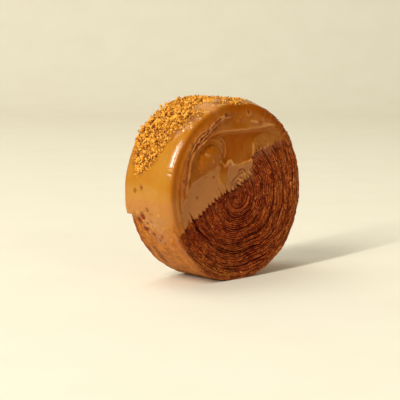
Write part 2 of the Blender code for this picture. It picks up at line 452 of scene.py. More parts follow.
@dataclass(frozen=True)
class BakedDough:
    """Laminated dough baked in a ring: browned butter and sugar on layer edges, thin and flaky.

    The crests of the layers are chestnut, and the grooves between them are painted nearly black-brown, which is
    painted shade. The outer wall, which lay against the ring, is a smoother orange brown. Its gloss is the faint
    one of butter in a dry crust.
    """

    crest: str = "#c45812"
    crest_red: str = "#962e06"
    wall: str = "#c67b2c"
    wall_dark: str = "#a85e1a"
    # Painted shade in the grooves, gaps and pores, and also the dark of scorched specks and streaks.
    dark_and_groove_shade: str = "#4e0600"
    fleck: str = "#cf7c3c"
    fleck_light: str = "#eba650"
    # Also the tan of the painted highlight along a ridge on the shown edge, low on the left.
    film: str = "#b56c42"
    ior: float = 1.46
    roughness: float = 0.5
    specular: float = 0.12
    leaf_thickness: float = 0.45
    leaf_length: float = 6.0

    def leaves(self, nodes: NodeTree) -> bpy.types.NodeSocket:
        """Fine leaves of dough that follow the layers, as a number mostly from 0.3 to 0.7."""
        place = nodes.add("ShaderNodeTexCoord").outputs["Object"]
        apart = nodes.add("ShaderNodeSeparateXYZ", {0: place})
        ways = (
            (nodes.attribute(Attribute.PLY), self.leaf_thickness),
            (apart.outputs["X"], self.leaf_length * MM),
            (apart.outputs["Z"], self.leaf_length * MM),
        )
        counted = {}
        for axis, (way, length) in enumerate(ways):
            counted[axis] = nodes.add("ShaderNodeMath", {0: way, 1: 1 / length}, operation="MULTIPLY").outputs[0]
        leaf = nodes.add("ShaderNodeCombineXYZ", counted)
        inputs = {"Vector": leaf.outputs[0], "Scale": 1.0, "Detail": 2.0, "Roughness": 0.6}
        return nodes.add("ShaderNodeTexNoise", inputs).outputs["Fac"]

    def material(self) -> bpy.types.Material:
        """Makes the finish."""
        nodes = NodeTree("baked laminated dough")
        # The dough's darkness, mostly painted shade.
        depth = nodes.attribute(Attribute.TONE_AND_SHADE)
        tint = nodes.attribute(Attribute.TINT)
        # Mottling of 4 mm is uneven browning, of about 1 mm the flakes' torn edges, and leaves are the butter layers.
        browning = nodes.span(nodes.grain(4.0, 4.0), 0.38, 0.62, 0.0, 0.6)
        browning = nodes.number("ADD", browning, nodes.span(nodes.grain(1.1, 3.0, 0.7), 0.42, 0.6, 0.0, 0.5))
        flakes = nodes.grain(1.2, 2.0)
        leaves = self.leaves(nodes)
        colour = nodes.mix(browning, linear(self.crest), linear(self.crest_red))
        blotches = nodes.span(nodes.grain(4.5, 4.0, 0.65), 0.42, 0.6, 0.0, 1.0)
        wall = nodes.mix(blotches, linear(self.wall), linear(self.wall_dark))
        colour = nodes.mix(tint, colour, wall)
        # Torn leaf edges are lightest. The wall has few of them, and few gaps between leaves.
        lit = nodes.span(flakes, 0.48, 0.62, 0.0, 1.0)
        lit = nodes.number("MULTIPLY", lit, nodes.span(leaves, 0.46, 0.6, 0.1, 1.0))
        lit = nodes.number("MULTIPLY", lit, nodes.span(tint, 0.6, 1.0, 1.0, 0.3))
        colour = nodes.mix(lit, colour, nodes.mix(tint, linear(self.fleck), linear(self.fleck_light)))
        thin = nodes.number("MULTIPLY", nodes.span(leaves, 0.5, 0.36, 0.0, 0.85), nodes.span(tint, 0.3, 1.0, 1.0, 0.1))
        pores = nodes.span(nodes.grain(1.4), 0.46, 0.36, 0.0, 1.0)
        pores = nodes.number("MULTIPLY", pores, nodes.span(tint, 0.3, 1.0, 0.9, 0.15))
        # Grooves, gaps between leaves and pores take the dark colour: painted shade.
        darkening_and_shade = nodes.number("MAXIMUM", nodes.span(depth, 0.03, 0.52, 0.0, 1.0), nodes.number("MAXIMUM", thin, pores))
        colour = nodes.mix(darkening_and_shade, colour, linear(self.dark_and_groove_shade))
        rough = nodes.span(flakes, 0.3, 0.7, self.roughness - 0.1, self.roughness + 0.2)
        # Film is caramel on the crests, and on the ridge along the shown edge a painted highlight.
        colour = nodes.mix(nodes.attribute(Attribute.FILM), colour, linear(self.film))
        raised = nodes.number("MULTIPLY", leaves, nodes.span(tint, 0.4, 1.0, 1.0, 0.2))
        fine = nodes.bumps(flakes, 0.35, nodes.bumps(raised, 0.5))
        nodes.feed(
            nodes.shader,
            {
                "Base Color": colour,
                "Roughness": rough,
                "IOR": self.ior,
                "Specular IOR Level": self.specular,
                "Normal": fine,
            },
        )
        return nodes.material


@dataclass(frozen=True)
class SetCaramel:
    """Cooked milk caramel that was dipped and left to set: glossy where it lay thick, chalky where it dried thin.

    Light goes a millimetre or two into it, so its edges glow a little. Thick pools are a deeper amber.
    """

    body: str = "#b67916"
    pale: str = "#bb832a"
    amber: str = "#a65200"
    dry: str = "#bc7740"
    # Dried skin on thin crests, and a painted highlight on them.
    skin: str = "#e6ac68"
    # Dirt, and painted shade in pits, creases, torn strands and under the crumbs.
    dirt_and_shade: str = "#7a2e06"
    film: str = "#b66c22"
    ior: float = 1.48
    roughness: float = 0.12
    # How strongly it glows, how far light goes in, in millimetres, and how far red, green and blue get of that.
    glow: float = 0.25
    glow_depth: float = 1.5
    glow_colours: tuple[float, float, float] = (1.0, 0.45, 0.15)

    def material(self) -> bpy.types.Material:
        """Makes the finish."""
        nodes = NodeTree("set milk caramel")
        amber = nodes.attribute(Attribute.AMBER)
        chalk = nodes.attribute(Attribute.CHALK)
        grime = nodes.attribute(Attribute.GRIME)
        # Clouds of 9 mm are caramel that cooled at different times, the 0.6 mm grain is sugar.
        clouds = nodes.span(nodes.grain(9.0, 3.0), 0.35, 0.65, 0.0, 1.0)
        sugar = nodes.grain(0.6, 2.0)
        colour = nodes.mix(clouds, linear(self.body), linear(self.pale))
        colour = nodes.mix(amber, colour, linear(self.amber))
        colour = nodes.mix(chalk, colour, linear(self.dry))
        # Thin crests dried first, to a pale skin, and the same pale paints a highlight on them.
        colour = nodes.mix(nodes.attribute(Attribute.PALE), colour, linear(self.skin))
        colour = nodes.mix(nodes.attribute(Attribute.FILM), colour, linear(self.film))
        # The dirt colour also paints shade in what is torn, creased or sunk, under the step and under the crumbs.
        colour = nodes.mix(grime, colour, linear(self.dirt_and_shade))
        rough = nodes.span(chalk, 0.0, 1.0, self.roughness, 0.5)
        rough = nodes.number("MAXIMUM", rough, nodes.span(grime, 0.2, 0.8, 0.0, 0.6))
        gloss = nodes.span(amber, 0.1, 0.9, 0.36, 0.08)
        gloss = nodes.number("MULTIPLY", gloss, nodes.span(chalk, 0.0, 1.0, 1.0, 0.45))
        fine = nodes.bumps(sugar, 0.012, nodes.bumps(nodes.grain(3.0, 2.0), 0.12))
        nodes.feed(
            nodes.shader,
            {
                "Base Color": colour,
                "Roughness": rough,
                "IOR": self.ior,
                "Specular IOR Level": gloss,
                "Normal": fine,
                "Subsurface Weight": self.glow,
                "Subsurface Radius": self.glow_colours,
                "Subsurface Scale": self.glow_depth * MM,
            },
        )
        return nodes.material


@dataclass(frozen=True)
class BiscuitCrumb:
    """Caramelised biscuit, crushed: dry, open and matt, golden with browner grains among it."""

    light: str = "#f8bc4b"
    brown: str = "#de9422"
    dark: str = "#7c3804"
    ior: float = 1.45
    roughness: float = 0.8
    specular: float = 0.3

    def material(self) -> bpy.types.Material:
        """Makes the finish."""
        nodes = NodeTree("crushed biscuit")
        shade = nodes.attribute(Attribute.SHADE)
        # The 0.4 mm grain is the biscuit's open crumb.
        pores = nodes.grain(0.4, 2.0)
        colour = nodes.mix(nodes.span(shade, 0.2, 0.7, 0.0, 1.0), linear(self.light), linear(self.brown))
        colour = nodes.mix(nodes.span(shade, 0.72, 1.0, 0.0, 1.0), colour, linear(self.dark))
        colour = nodes.mix(nodes.span(pores, 0.5, 0.7, 0.0, 0.4), colour, linear(self.dark))
        fine = nodes.bumps(pores, 0.12)
        nodes.feed(
            nodes.shader,
            {
                "Base Color": colour,
                "Roughness": self.roughness,
                "IOR": self.ior,
                "Specular IOR Level": self.specular,
                "Normal": fine,
            },
        )
        return nodes.material


@dataclass(frozen=True)
class PaintedBoard:
    """Matt painted board, the plain pale ground of the studio, with a roller's faint orange peel."""

    colour: str = "#efead6"
    shadow: str = "#ece7d2"
    roughness: float = 0.9

    def material(self) -> bpy.types.Material:
        """Makes the finish."""
        nodes = NodeTree("matt painted board")
        peel = nodes.grain(2.0, 2.0)
        colour = nodes.mix(nodes.span(nodes.grain(60.0), 0.3, 0.7, 0.0, 1.0), linear(self.colour), linear(self.shadow))
        nodes.feed(
            nodes.shader,
            {"Base Color": colour, "Roughness": self.roughness, "Normal": nodes.bumps(peel, 0.02)},
        )
        return nodes.material


# ---------------------------------------------------------------- the wheel's form


@dataclass(frozen=True)
class Wheel:
    """The size and place of the wheel of dough that everything else lies on."""

    radius: float = 49.7
    width: float = 34.0
    edge: float = 3.0
    axle_height: float = 48.8
    turn_pitch: float = 7.8
    eye: tuple[float, float] = (-1.3, -4.3)
    dip_slope: float = math.radians(31.0)
    dough_squareness: float = 3.0
    coat_squareness: float = 3.4
    # The coat's tread falls away to the shown edge: where this starts, over what length, and by how much.
    shoulder: tuple[float, float, float] = (-10.0, 6.0, 1.7)
    # How far it is out of round, by degrees round it.
    outline: Table = (
        (0, 0.3), (20, 0.2), (45, 0.0), (70, -0.6), (95, -0.7), (115, -0.2), (137, 0.7), (165, 0.8),
        (182, 0.7), (205, -0.4), (235, -0.9), (268, 0.3), (297, 0.7), (320, 0.9), (340, 0.4), (360, 0.3),
    )  # fmt: skip

    @property
    def face_radius(self) -> float:
        """Radius of a face's flat part, inside its rounded edge."""
        return self.radius - self.edge

    @property
    def half_tread(self) -> float:
        """Half the width of the tread between the rounded edges."""
        return self.width / 2 - self.edge

    @property
    def seam(self) -> float:
        """Angle of the middle of the covered half, where the turns are counted from."""
        return self.dip_slope + math.pi / 2

    def swell(self, angle: Array) -> Array:
        """How far the outline is out of round at an angle."""
        return lookup(self.outline, np.degrees(angle) % 360)

    def reach(self, radius: Array, angle: Array) -> Array:
        """Real distance from the axle of a point with a nominal radius."""
        return radius + self.swell(angle) * (radius / self.radius) ** 3

    def squarer(self, lean: Array, power: float) -> Array:
        """How much further out a rounded edge reaches when it is a superellipse and not a quarter circle.

        Args:
            lean: Angles from the axle's direction.
            power: The superellipse's power, 2 for a circle.

        Returns:
            Shares of the edge's radius, 1 and more.
        """
        return (np.abs(np.cos(lean)) ** power + np.abs(np.sin(lean)) ** power) ** (-1 / power)

    def around(self, angle: Array, y: Array) -> tuple[Array, Array, Array]:
        """Places on the round tread, for reading waves at."""
        return self.radius * np.cos(angle), y, self.radius * np.sin(angle)

    def arc(self, degrees: Array) -> Array:
        """The length of a stretch of the tread, from its degrees."""
        return degrees * self.radius * math.pi / 180

    def fall(self, y: Array) -> Array:
        """How far the coat's tread has fallen away towards the shown edge."""
        start, length, depth = self.shoulder
        return depth * np.clip((start - y) / length, 0.0, 1.15) ** 2

    def in_metres(self, x: Array, y: Array, z: Array) -> Array:
        """Points in the row frame, in metres, from millimetres round the axle.

        Args:
            x: To the right.
            y: Along the axle.
            z: Upwards.

        Returns:
            An (..., 3) array.
        """
        low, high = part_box("baked_roll")
        axle_x = high[0] - (self.radius + self.outline[0][1]) * MM
        axle_y = (low[1] + high[1]) / 2
        points = np.stack(np.broadcast_arrays(x, y, z), -1) * MM
        return points + np.array((axle_x, axle_y, low[2] + self.axle_height * MM))

    def over_dip(self, x: Array, z: Array) -> tuple[Array, Array]:
        """Where points lie along the slanting dip line, and how far over the axle square to it."""
        cosine, sine = math.cos(self.dip_slope), math.sin(self.dip_slope)
        return x * cosine + z * sine, z * cosine - x * sine


@dataclass(frozen=True)
class DipLine:
    """The toothed edge that the caramel ends in."""

    wheel: Wheel
    waves: Waves
    # The edge's height over the axle on the shown face, square to the slope, by place along the slope.
    shown: Table = (
        (-60, 3.0), (-47, 3.5), (-41, 6.0), (-38.5, 7.8), (-36.5, 5.6), (-30, 4.9), (-20, 5.0), (-9, 4.2), (-4, 2.4),
        (0, 1.3), (6, 1.1), (12.5, 1.5), (14.5, 3.4), (16.5, 6.4), (18.5, 9.6), (22, 9.8), (29, 7.8), (39, 6.8),
        (47, 3.2), (60, 1.5),
    )  # fmt: skip
    # Its height on the far face, how much higher it ends there on the left, and how far the film hangs down.
    far_level: float = 4.5
    far_rise: float = 11.0
    film_drop: float = 7.0
    # Notches, coarse and fine: their pitch, and how deep the least and the deepest go.
    notches: tuple[tuple[float, float, float], ...] = ((2.6, 0.6, 4.8), (1.3, 0.1, 1.3))
    notch_width: float = 0.44
    # One long slit low on the left: where it is along the slope, how far up it runs, and its half width.
    slit: tuple[float, float, float] = (-35.0, 5.4, 1.25)

    def level(self, along: Array, y: Array) -> Array:
        """Height of the edge over the axle, square to the slope.

        Args:
            along: Places along the slope.
            y: Places along the axle.

        Returns:
            The heights.
        """
        shown_side = ease(self.wheel.width / 4, -self.wheel.width / 2, y)
        level = self.far_level + (lookup(self.shown, along) - self.far_level) * shown_side
        rise = self.far_rise * ease(-3.0, 0.9 * self.wheel.half_tread, y)
        rise = rise - self.film_drop * hump(y + 1.0, 14.0)
        rise = rise * ease(0.0, -self.wheel.radius, along)
        return level + rise + self.teeth(along, y)

    def teeth(self, along: Array, y: Array) -> Array:
        """How far the edge runs out between the layers: a blunt comb with narrow notches, no two the same."""
        run = 0.45 * self.waves.at(along, y, 2.0, 1.6, 2) + 0.5 * self.waves.at(along, y, 8.0, 6.0)
        for pitch, least, deepest in self.notches:
            phase = np.abs(along + 1.3) / pitch + 0.4 * self.waves.at(along, y * 0.2, 5.0, 4.0)
            number = np.round(phase)
            chance = 0.5 + 0.5 * self.waves.one(number * 3.7 + 0.5, np.sign(along) * 5.0 + 0.5, y * 0.05)
            notch = np.clip(1 - np.abs(phase - number) / self.notch_width, 0.0, 1.0)
            run = run + notch * (least + deepest * np.clip(chance, 0, 1) ** 1.5)
        place, depth, half_width = self.slit
        run = run + depth * hump(along - place, half_width) * ease(-8.0, -14.0, y)
        return run * ease(self.wheel.radius, 0.9 * self.wheel.radius, np.abs(along))

    def end_angle(self, y: Array, left: bool) -> Array:
        """Angle round the wheel at which the edge crosses the tread.

        Args:
            y: Places along the axle.
            left: Whether it is the lower end, on the left.

        Returns:
            The angles.
        """
        along = -self.wheel.radius if left else self.wheel.radius
        ragged = 1.5 if left else 0.8
        over = self.level(np.full(np.shape(y), along, dtype=float), y) + ragged * self.waves.at(y, along, 3.0, 3.0, 2)
        lean = np.arcsin(over / self.wheel.radius)
        return self.wheel.dip_slope + (math.pi - lean if left else lean)


# ---------------------------------------------------------------- the baked roll


@dataclass
class BakedRoll:
    """The wheel of dough: two faces of wound layers and the wall that lay against the baking ring."""

    wheel: Wheel
    dip: DipLine
    waves: Waves
    layers_per_turn: int = 6
    rings_per_layer: int = 4
    # How deep the grooves between layers and between turns are.
    layer_groove: float = 0.8
    turn_groove: float = 1.3
    # How finely the mesh is divided: round the bare part, round the covered part, and across the wall.
    bare_columns: int = 215
    covered_columns: int = 28
    wall_rows: int = 40
    # How far the close columns go on past the dip line's left and right ends, in degrees.
    past_ends: tuple[float, float] = (18.0, 14.0)
    # The grooves' sections, ring by ring, as shares of their depth.
    layer_section: tuple[float, ...] = (1.0, 0.22, 0.0, 0.34)
    turn_section: tuple[float, ...] = (1.0, 0.6, 0.15, 0.0)
    # How far apart the leaves are counted from row to row of the wall.
    wall_leaf: float = 0.8
    # How much deeper the groove between turns is than the others, by the turn it is in.
    turn_strength: tuple[float, ...] = (0.3, 0.7, 0.3, 0.5, 2.1, 0.2, 0.3, 0.4)
    # How the turns are pressed out of round, as shares of the radius by angle, where they are most.
    press: Table = (
        (0, 0.0), (150, 0.0), (193, 0.05), (208, 0.01), (225, -0.03), (245, -0.045), (275, -0.052), (291, -0.045),
        (305, 0.0), (318, 0.04), (335, 0.02), (360, 0.0),
    )  # fmt: skip

    def angles(self) -> Array:
        """Angles of one turn from the seam, close together over the bare part."""
        past_left, past_right = (math.radians(degrees) for degrees in self.past_ends)
        start = self.wheel.dip_slope + math.pi - past_left
        end = self.wheel.dip_slope + TURN + past_right
        half = self.covered_columns // 2
        return np.concatenate(
            (
                np.linspace(self.wheel.seam, start, half, endpoint=False),
                np.linspace(start, end, self.bare_columns, endpoint=False),
                np.linspace(end, self.wheel.seam + TURN, half + 1),
            )
        )

    def face(self, side: Side) -> tuple[Array, ...]:
        """A face whose rows follow the layers as they wind outwards.

        Args:
            side: Which face.

        Returns:
            Arrays of rows by columns: points in millimetres, their darkness, which is painted shade with random
            tone, their tint, their place across the layers, and how much film of caramel lies on them.
        """
        wheel = self.wheel
        # Rows wind outwards from the eye, pressed out of round and wandering a little.
        per_turn = self.layers_per_turn * self.rings_per_layer
        step = wheel.turn_pitch / per_turn
        count = math.ceil(wheel.face_radius / step) + 1
        ring = np.arange(-per_turn, count + 1)[:, None]
        angle = self.angles()[None, :]
        turns = (angle - wheel.seam) / TURN
        nominal = np.clip((ring + per_turn * turns) * step, 0.0, wheel.face_radius)
        share = nominal / wheel.face_radius
        pressed = nominal * (1 + lookup(self.press, np.degrees(angle) % 360) * 4 * share**2 * (1 - share**2))
        flat_x, flat_z = nominal * np.cos(angle), nominal * np.sin(angle)
        wander = 0.75 * self.waves.at(flat_x, 60.0, flat_z, 11.0) + 0.4 * self.waves.at(flat_x, 70.0, flat_z, 3.6, 2)
        pressed = pressed + wander * ease(0.0, 0.2, share) * ease(1.0, 0.93, share)
        reach = wheel.reach(pressed, angle)
        x = reach * np.cos(angle) + wheel.eye[0] * (1 - share)
        z = reach * np.sin(angle) + wheel.eye[1] * (1 - share)
        y = np.full(x.shape, side.value * wheel.width / 2)

        # A groove runs beside each layer, and a deeper one between turns where they have parted.
        part = ring % per_turn
        along = math.pi * wheel.turn_pitch * (ring // per_turn + turns) ** 2
        section = np.array(self.layer_section)[part % self.rings_per_layer]
        layer = (part + 1) // self.rings_per_layer
        uneven = self.waves.at(along, layer * 50.0 + 3, side.value * 9.0, 9.0, 2)
        ragged = self.waves.at(x, y, z, 1.3, 2)
        depth = self.layer_groove * section * (1 + 0.7 * uneven)
        # Whole layers stand proud or lie back, and their edges are torn.
        lift = 0.5 * self.waves.at(along, layer * 31.0, 4.0 + side.value, 9.0, 2) + 0.25 * ragged
        tone = self.waves.at(along, layer * 23.0, 40.0 + side.value, 9.0, 2)
        turn = np.clip(ring // per_turn + (turns > 0.5), 0, len(self.turn_strength) - 1)
        strength = np.array(self.turn_strength)[turn] * (0.75 + 0.5 * self.waves.at(along, 1.0, side.value, 25.0))
        away = np.minimum(part, per_turn - part)
        turn_section = np.array(self.turn_section)[np.minimum(away, len(self.turn_section) - 1)]
        depth = depth + np.clip(self.turn_groove * strength * turn_section, 0.0, None)

        # The relief fades in the eye, towards the rim and under the caramel.
        fade = ease(0.0, 2.5, nominal) * (0.4 + 0.6 * ease(0.0, 1.2, wheel.face_radius - nominal))
        fade = fade * (0.6 + 0.4 * ease(3.0, 13.0, nominal))
        line, over = wheel.over_dip(x, z)
        fade = fade * (1 - ease(1.5, 5.0, over - self.dip.level(line, y)))
        y = y - side.value * (depth - lift + 0.1) * fade
        slump = 0.35 * self.waves.at(x, 30.0 + y * 0, z, 17.0)
        y = y + side.value * np.clip(slump, -1, 0.15) * ease(wheel.face_radius, 0.9 * wheel.face_radius, nominal)

        # The wall's lighter colour shows a little at the rim and on the right, and more low on the left.
        tint = 0.25 * ease(wheel.face_radius - 2.0, wheel.face_radius, nominal + 1.2 * self.waves.at(x, y, z, 4.0))
        tint = tint + 0.5 * ease(-20.0, -48.0, z + 3 * self.waves.at(x, y, z, 9.0, 2)) * ease(14.0, -20.0, x)
        tint = tint + 0.22 * ease(12.0, 36.0, x)
        # Darker in deep grooves and lighter on proud layers, which is painted shade and light, with random tone on
        # top.
        shade = (depth - 0.4 * lift) / 1.25 + 0.2 * tone + 0.2 * self.waves.at(x, y, z, 1.7, 2) - 0.05
        # Low on the left the outer layers are rubbed to crumbs.
        worn = ease(33.0, 41.0, nominal) * ease(12.0, -12.0, x)
        shade = shade * (1 - 0.65 * worn) + 0.6 * worn * np.clip(self.waves.at(x, y, z, 1.0, 2), -0.2, 0.7)
        shade = np.clip(shade - 0.2 * ease(12.0, 38.0, x), 0.0, 1.0) * fade
        shade = shade + 0.1 * ease(13.0, 5.0, nominal)
        # A dark line of shade runs below the caramel's edge, and right of the eye a film of it lies on the crests.
        below = over - self.dip.level(line, y * 0 + side.value * wheel.width / 2)
        shade = np.clip(shade + 0.7 * ease(-1.3, 0.3, below), 0.0, 1.0)
        film = ease(6.0, 14.0, line) * ease(-6.0, -1.0, below + 2.5 * self.waves.at(x, 80.0, z, 4.0, 2))
        film = 0.75 * film * (1 - 0.7 * shade)
        ply = np.broadcast_to(ring * step, x.shape)
        return np.stack((x, y, z), -1), shade, np.clip(tint, 0, 1), ply, film

    def wall(self) -> tuple[Array, ...]:
        """The rounded edges and the tread between them, from the shown face to the far one.

        Returns:
            Arrays as for a face.
        """
        wheel = self.wheel
        angle = self.angles()[None, :]
        lean = np.linspace(0.0, math.pi / 2, 9)[1:, None]
        edge = wheel.edge * wheel.squarer(lean, wheel.dough_squareness)
        across = np.linspace(-wheel.half_tread, wheel.half_tread, self.wall_rows)[1:-1, None]
        radius = np.concatenate(
            (
                wheel.face_radius + edge * np.sin(lean),
                np.full(across.shape, wheel.radius),
                wheel.face_radius + (edge * np.sin(lean))[::-1],
            )
        )
        y = np.concatenate(
            (
                -wheel.half_tread - edge * np.cos(lean),
                across,
                wheel.half_tread + (edge * np.cos(lean))[::-1],
            )
        )
        around = wheel.around(angle, y)
        relief = 0.36 * self.waves.at(*around, 9.0, 2) + 0.12 * self.waves.at(*around, 1.8, 2)
        inside = ease(wheel.face_radius, wheel.radius, radius)
        # The outermost leaves end in ragged rings round both edges.
        rings = self.waves.at(around[0] / 5, y * 1.6, around[2] / 5, 1.5, 2)
        by_edge = ease(wheel.half_tread - 2.5, wheel.half_tread, np.abs(y))
        flaky = 0.42 * by_edge * (y < 0) + 0.26 * ease(2.0, 9.0, y)
        relief = relief + 1.2 * rings * flaky
        relief = relief + 0.6 * by_edge * (y < 0) * np.abs(self.waves.at(*around, 3.4, 2)) * (around[0] > 0)
        # The wall is darker in streaks round the wheel, where the outer layer was thin.
        streak = ease(0.1, 0.8, self.waves.at(angle * 20, y * 2.2, 1.0, 6.0, 2))
        # Where the ragged rings sink it is painted darker: painted shade.
        shade = 0.15 * streak + (0.55 + 0.35 * ease(2.0, 9.0, y)) * flaky * ease(0.0, -0.6, rings)
        degrees = np.degrees(angle) % 360
        # Under the dip line it is peppered with scorched crumbs.
        grains = self.waves.at(*around, 1.5, 2)
        peppered = ease(240.0, 212.0, degrees) * ease(150.0, 190.0, degrees) * ease(-9.0, 2.0, y + 5 * grains)
        shade = shade + 0.22 * peppered * ease(0.2, 0.7, grains)
        relief = relief + 0.3 * peppered * grains
        # The shown edge is plain and tan low on the left, and as mottled as the faces further on.
        plain = (1 - ease(230.0, 240.0, degrees)) * (y < 0)
        tint = 0.2 + 0.8 * ease(0.2, 0.8, inside) * (1 - 0.85 * ease(13.2, 15.2, np.abs(y)) * (1 - plain))
        # A small ridge along that edge carries a tan film, a painted highlight, and is kept free of shade.
        ridge = hump(y + 15.7, 1.5) * ease(201.0, 206.0, degrees) * ease(241.0, 228.0, degrees)
        reach = wheel.reach(radius + (relief - 0.15) * inside + 0.3 * ridge, angle)
        ply = wheel.face_radius + np.broadcast_to(np.arange(len(y))[:, None] * self.wall_leaf, shade.shape)
        shade = np.clip(shade * (1 - ridge), 0, 1)
        return ring_points(reach, angle, y), shade, tint, ply, 0.9 * ridge

    def build(self) -> bpy.types.Object:
        """Makes the roll in its finish, on the body that it belongs to."""
        shown, wall, far = self.face(Side.SHOWN), self.wall(), self.face(Side.FAR)
        rows = [np.concatenate((a, b, c[::-1])) for a, b, c in zip(shown, wall, far)]
        points, shade, tint, ply, film = rows
        points[..., 2] = np.maximum(points[..., 2], -self.wheel.axle_height)
        faces = lattice_faces(*points.shape[:2])
        flat = self.wheel.in_metres(points[..., 0], points[..., 1], points[..., 2]).reshape(-1, 3)
        flat, faces, kept = weld(flat, faces)
        looks = {Attribute.TONE_AND_SHADE: shade, Attribute.TINT: tint, Attribute.PLY: ply, Attribute.FILM: film}
        values = {attribute: numbers.reshape(-1)[kept] for attribute, numbers in looks.items()}
        made = mesh_object("layered_dough", flat, faces, values)
        made.data.materials.append(BakedDough().material())
        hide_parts("baked_roll")
        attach(made, "root")
        return made


# ---------------------------------------------------------------- the caramel


@dataclass(frozen=True)
class Sheet:
    """A stretch of the caramel, in rows by columns.

    It has nominal places, five looks, and a thickness over the dough. The one over the edges and the tread also has
    how far each row leans from the axle.
    """

    places: Array
    looks: list[Array]
    thick: Array
    tilt: Array | None = None


@dataclass
class CaramelCoat:
    """The caramel over the upper half: one sheet from its edge on the shown face, over the tread, to the far one."""

    wheel: Wheel
    dip: DipLine
    waves: Waves
    LOOKS: ClassVar[tuple[Attribute, ...]] = (
        Attribute.AMBER, Attribute.CHALK, Attribute.GRIME, Attribute.PALE, Attribute.FILM,
    )  # fmt: skip
    # How finely the mesh is divided: round the sheet, round its inner side, over each face, edge and the tread.
    columns: int = 335
    inner_columns: int = 7
    face_rows: int = 160
    far_rows: int = 36
    edge_rows: int = 10
    tread_rows: int = 46
    thickness: float = 1.35
    lip: float = 1.2
    # How deep its edge bites into the dough, and how far under that its inner side lies.
    bite: float = 1.1
    inner_depth: float = 0.3
    # How closely its columns gather at the ends, from 0 to 1.
    gather: float = 0.72
    # The bead inside the rim: its distance from the axle, its half width and its height.
    rim_bead: tuple[float, float, float] = (45.3, 2.6, 0.35)
    # Lines and outlines on the face are (x, z) points. This is the step that the thick upper part ends in, from the
    # right over the middle and down the left.
    fold: Table = (
        (40, 34.5), (22.5, 34.8), (11.6, 34.2), (3.9, 33.4), (-3.6, 33.2), (-9.6, 33.0), (-15.4, 33.0), (-19.8, 31.3),
        (-23.4, 29.4), (-27.6, 26.4), (-31.2, 23.5), (-33.3, 20.4), (-35.4, 16.4), (-36.1, 12.2), (-37.2, 7.0),
        (-37.8, 0.0),
    )  # fmt: skip
    # Under the step it sagged into a pool, with a mound on its left that a swirl runs round.
    pool: Table = (
        (-13.5, 31.8), (-14.5, 27.3), (-13.2, 24.6), (-14.0, 21.4), (-14.5, 18.0), (-11.8, 15.2), (-7.3, 18.0),
        (-4.3, 15.9), (0.9, 15.4), (5.5, 15.7), (9.3, 17.3), (10.2, 22.0), (9.6, 26.0), (12.5, 29.5), (19.0, 32.0),
        (14.0, 33.4), (3.9, 32.8), (-9.6, 32.3),
    )  # fmt: skip
    mound: Table = (
        (-25.5, 25.3), (-22.6, 26.4), (-18.3, 26.4), (-15.4, 24.7), (-14.2, 21.4), (-15.4, 17.2), (-17.6, 14.4),
        (-20.1, 12.6), (-24.4, 11.7), (-28.6, 12.0), (-30.5, 15.0), (-30.7, 19.2), (-29.1, 22.6),
    )  # fmt: skip
    mound_arc: Table = ((-25.4, 21.4), (-23.6, 21.0), (-21.4, 19.5), (-20.5, 17.3))
    swirl_arc: Table = ((-30.8, 24.0), (-26.5, 27.8), (-21.0, 29.3), (-16.0, 28.6), (-13.0, 26.0), (-12.4, 22.5))
    outer_arc: Table = ((-13.6, 29.8), (-10.8, 27.0), (-10.2, 23.5), (-11.2, 20.5))
    # Along the dip line it dried thin and chalky, up to a narrow wavy ridge.
    dusty: Table = (
        (-42.0, -6.0), (-37.4, 2.4), (-31.6, 8.4), (-26.6, 10.4), (-20.0, 11.8), (-15.6, 14.8), (-11.7, 13.4),
        (-7.3, 16.3), (-4.3, 14.4), (0.9, 14.0), (6.0, 14.3), (10.5, 16.5), (12.5, 20.5), (17.0, 23.0), (25.0, 25.0),
        (24.0, 18.0), (0.0, -4.0), (-40.0, -30.0),
    )  # fmt: skip
    wavy_fold: Table = (
        (-14.9, 18.0), (-13.0, 16.8), (-11.5, 14.6), (-10.2, 14.9), (-8.1, 17.2), (-6.6, 16.8), (-5.6, 15.2),
        (0.9, 14.7), (5.5, 15.4), (9.3, 16.7), (11.5, 18.0),
    )  # fmt: skip
    right_edge: Table = ((9.9, 16.6), (10.4, 20.5), (10.1, 25.5))
    # Below its creases the sheet is so thin that the layers show through it.
    creases: tuple[Table, ...] = (
        ((-5.2, 4.2), (-5.4, 5.8), (-3.2, 7.6), (-0.4, 9.1), (2.6, 10.2)),
        ((-0.7, 10.8), (1.2, 11.8), (3.4, 11.8), (4.9, 11.0)),
    )
    drip: Table = ((-11.7, 13.6), (-11.7, 10.0), (-11.7, 7.4))
    # Where the skin of the setting caramel was dragged and torn into strands, and the half width of that band by
    # how far down it is.
    torn: Table = (
        (-8.4, 43.1), (-15.1, 39.6), (-20.5, 35.8), (-25.2, 32.3), (-30.2, 28.4), (-34.0, 25.0), (-36.5, 21.0),
        (-38.2, 15.0), (-39.6, 9.0),
    )  # fmt: skip
    torn_width: Table = ((-24, 0.6), (-17, 1.5), (-8, 3.0), (1, 4.4), (6, 3.4), (11, 1.6), (22, 0.8), (26, 0.0))
    pale_band: Table = ((-7.5, 43.0), (-14.0, 40.2), (-20.0, 37.6), (-24.5, 35.3), (-29.7, 33.4), (-33.0, 29.5))
    # Loose strands at the upper right, light along one part and dark along the next.
    strands: tuple[Table, ...] = (
        ((17.0, 43.2), (22.4, 41.8), (24.6, 39.6), (23.5, 37.7)),
        ((16.2, 36.6), (20.7, 36.2), (25.2, 34.8)),
        ((7.4, 38.3), (14.0, 37.9), (17.4, 36.8)),
    )
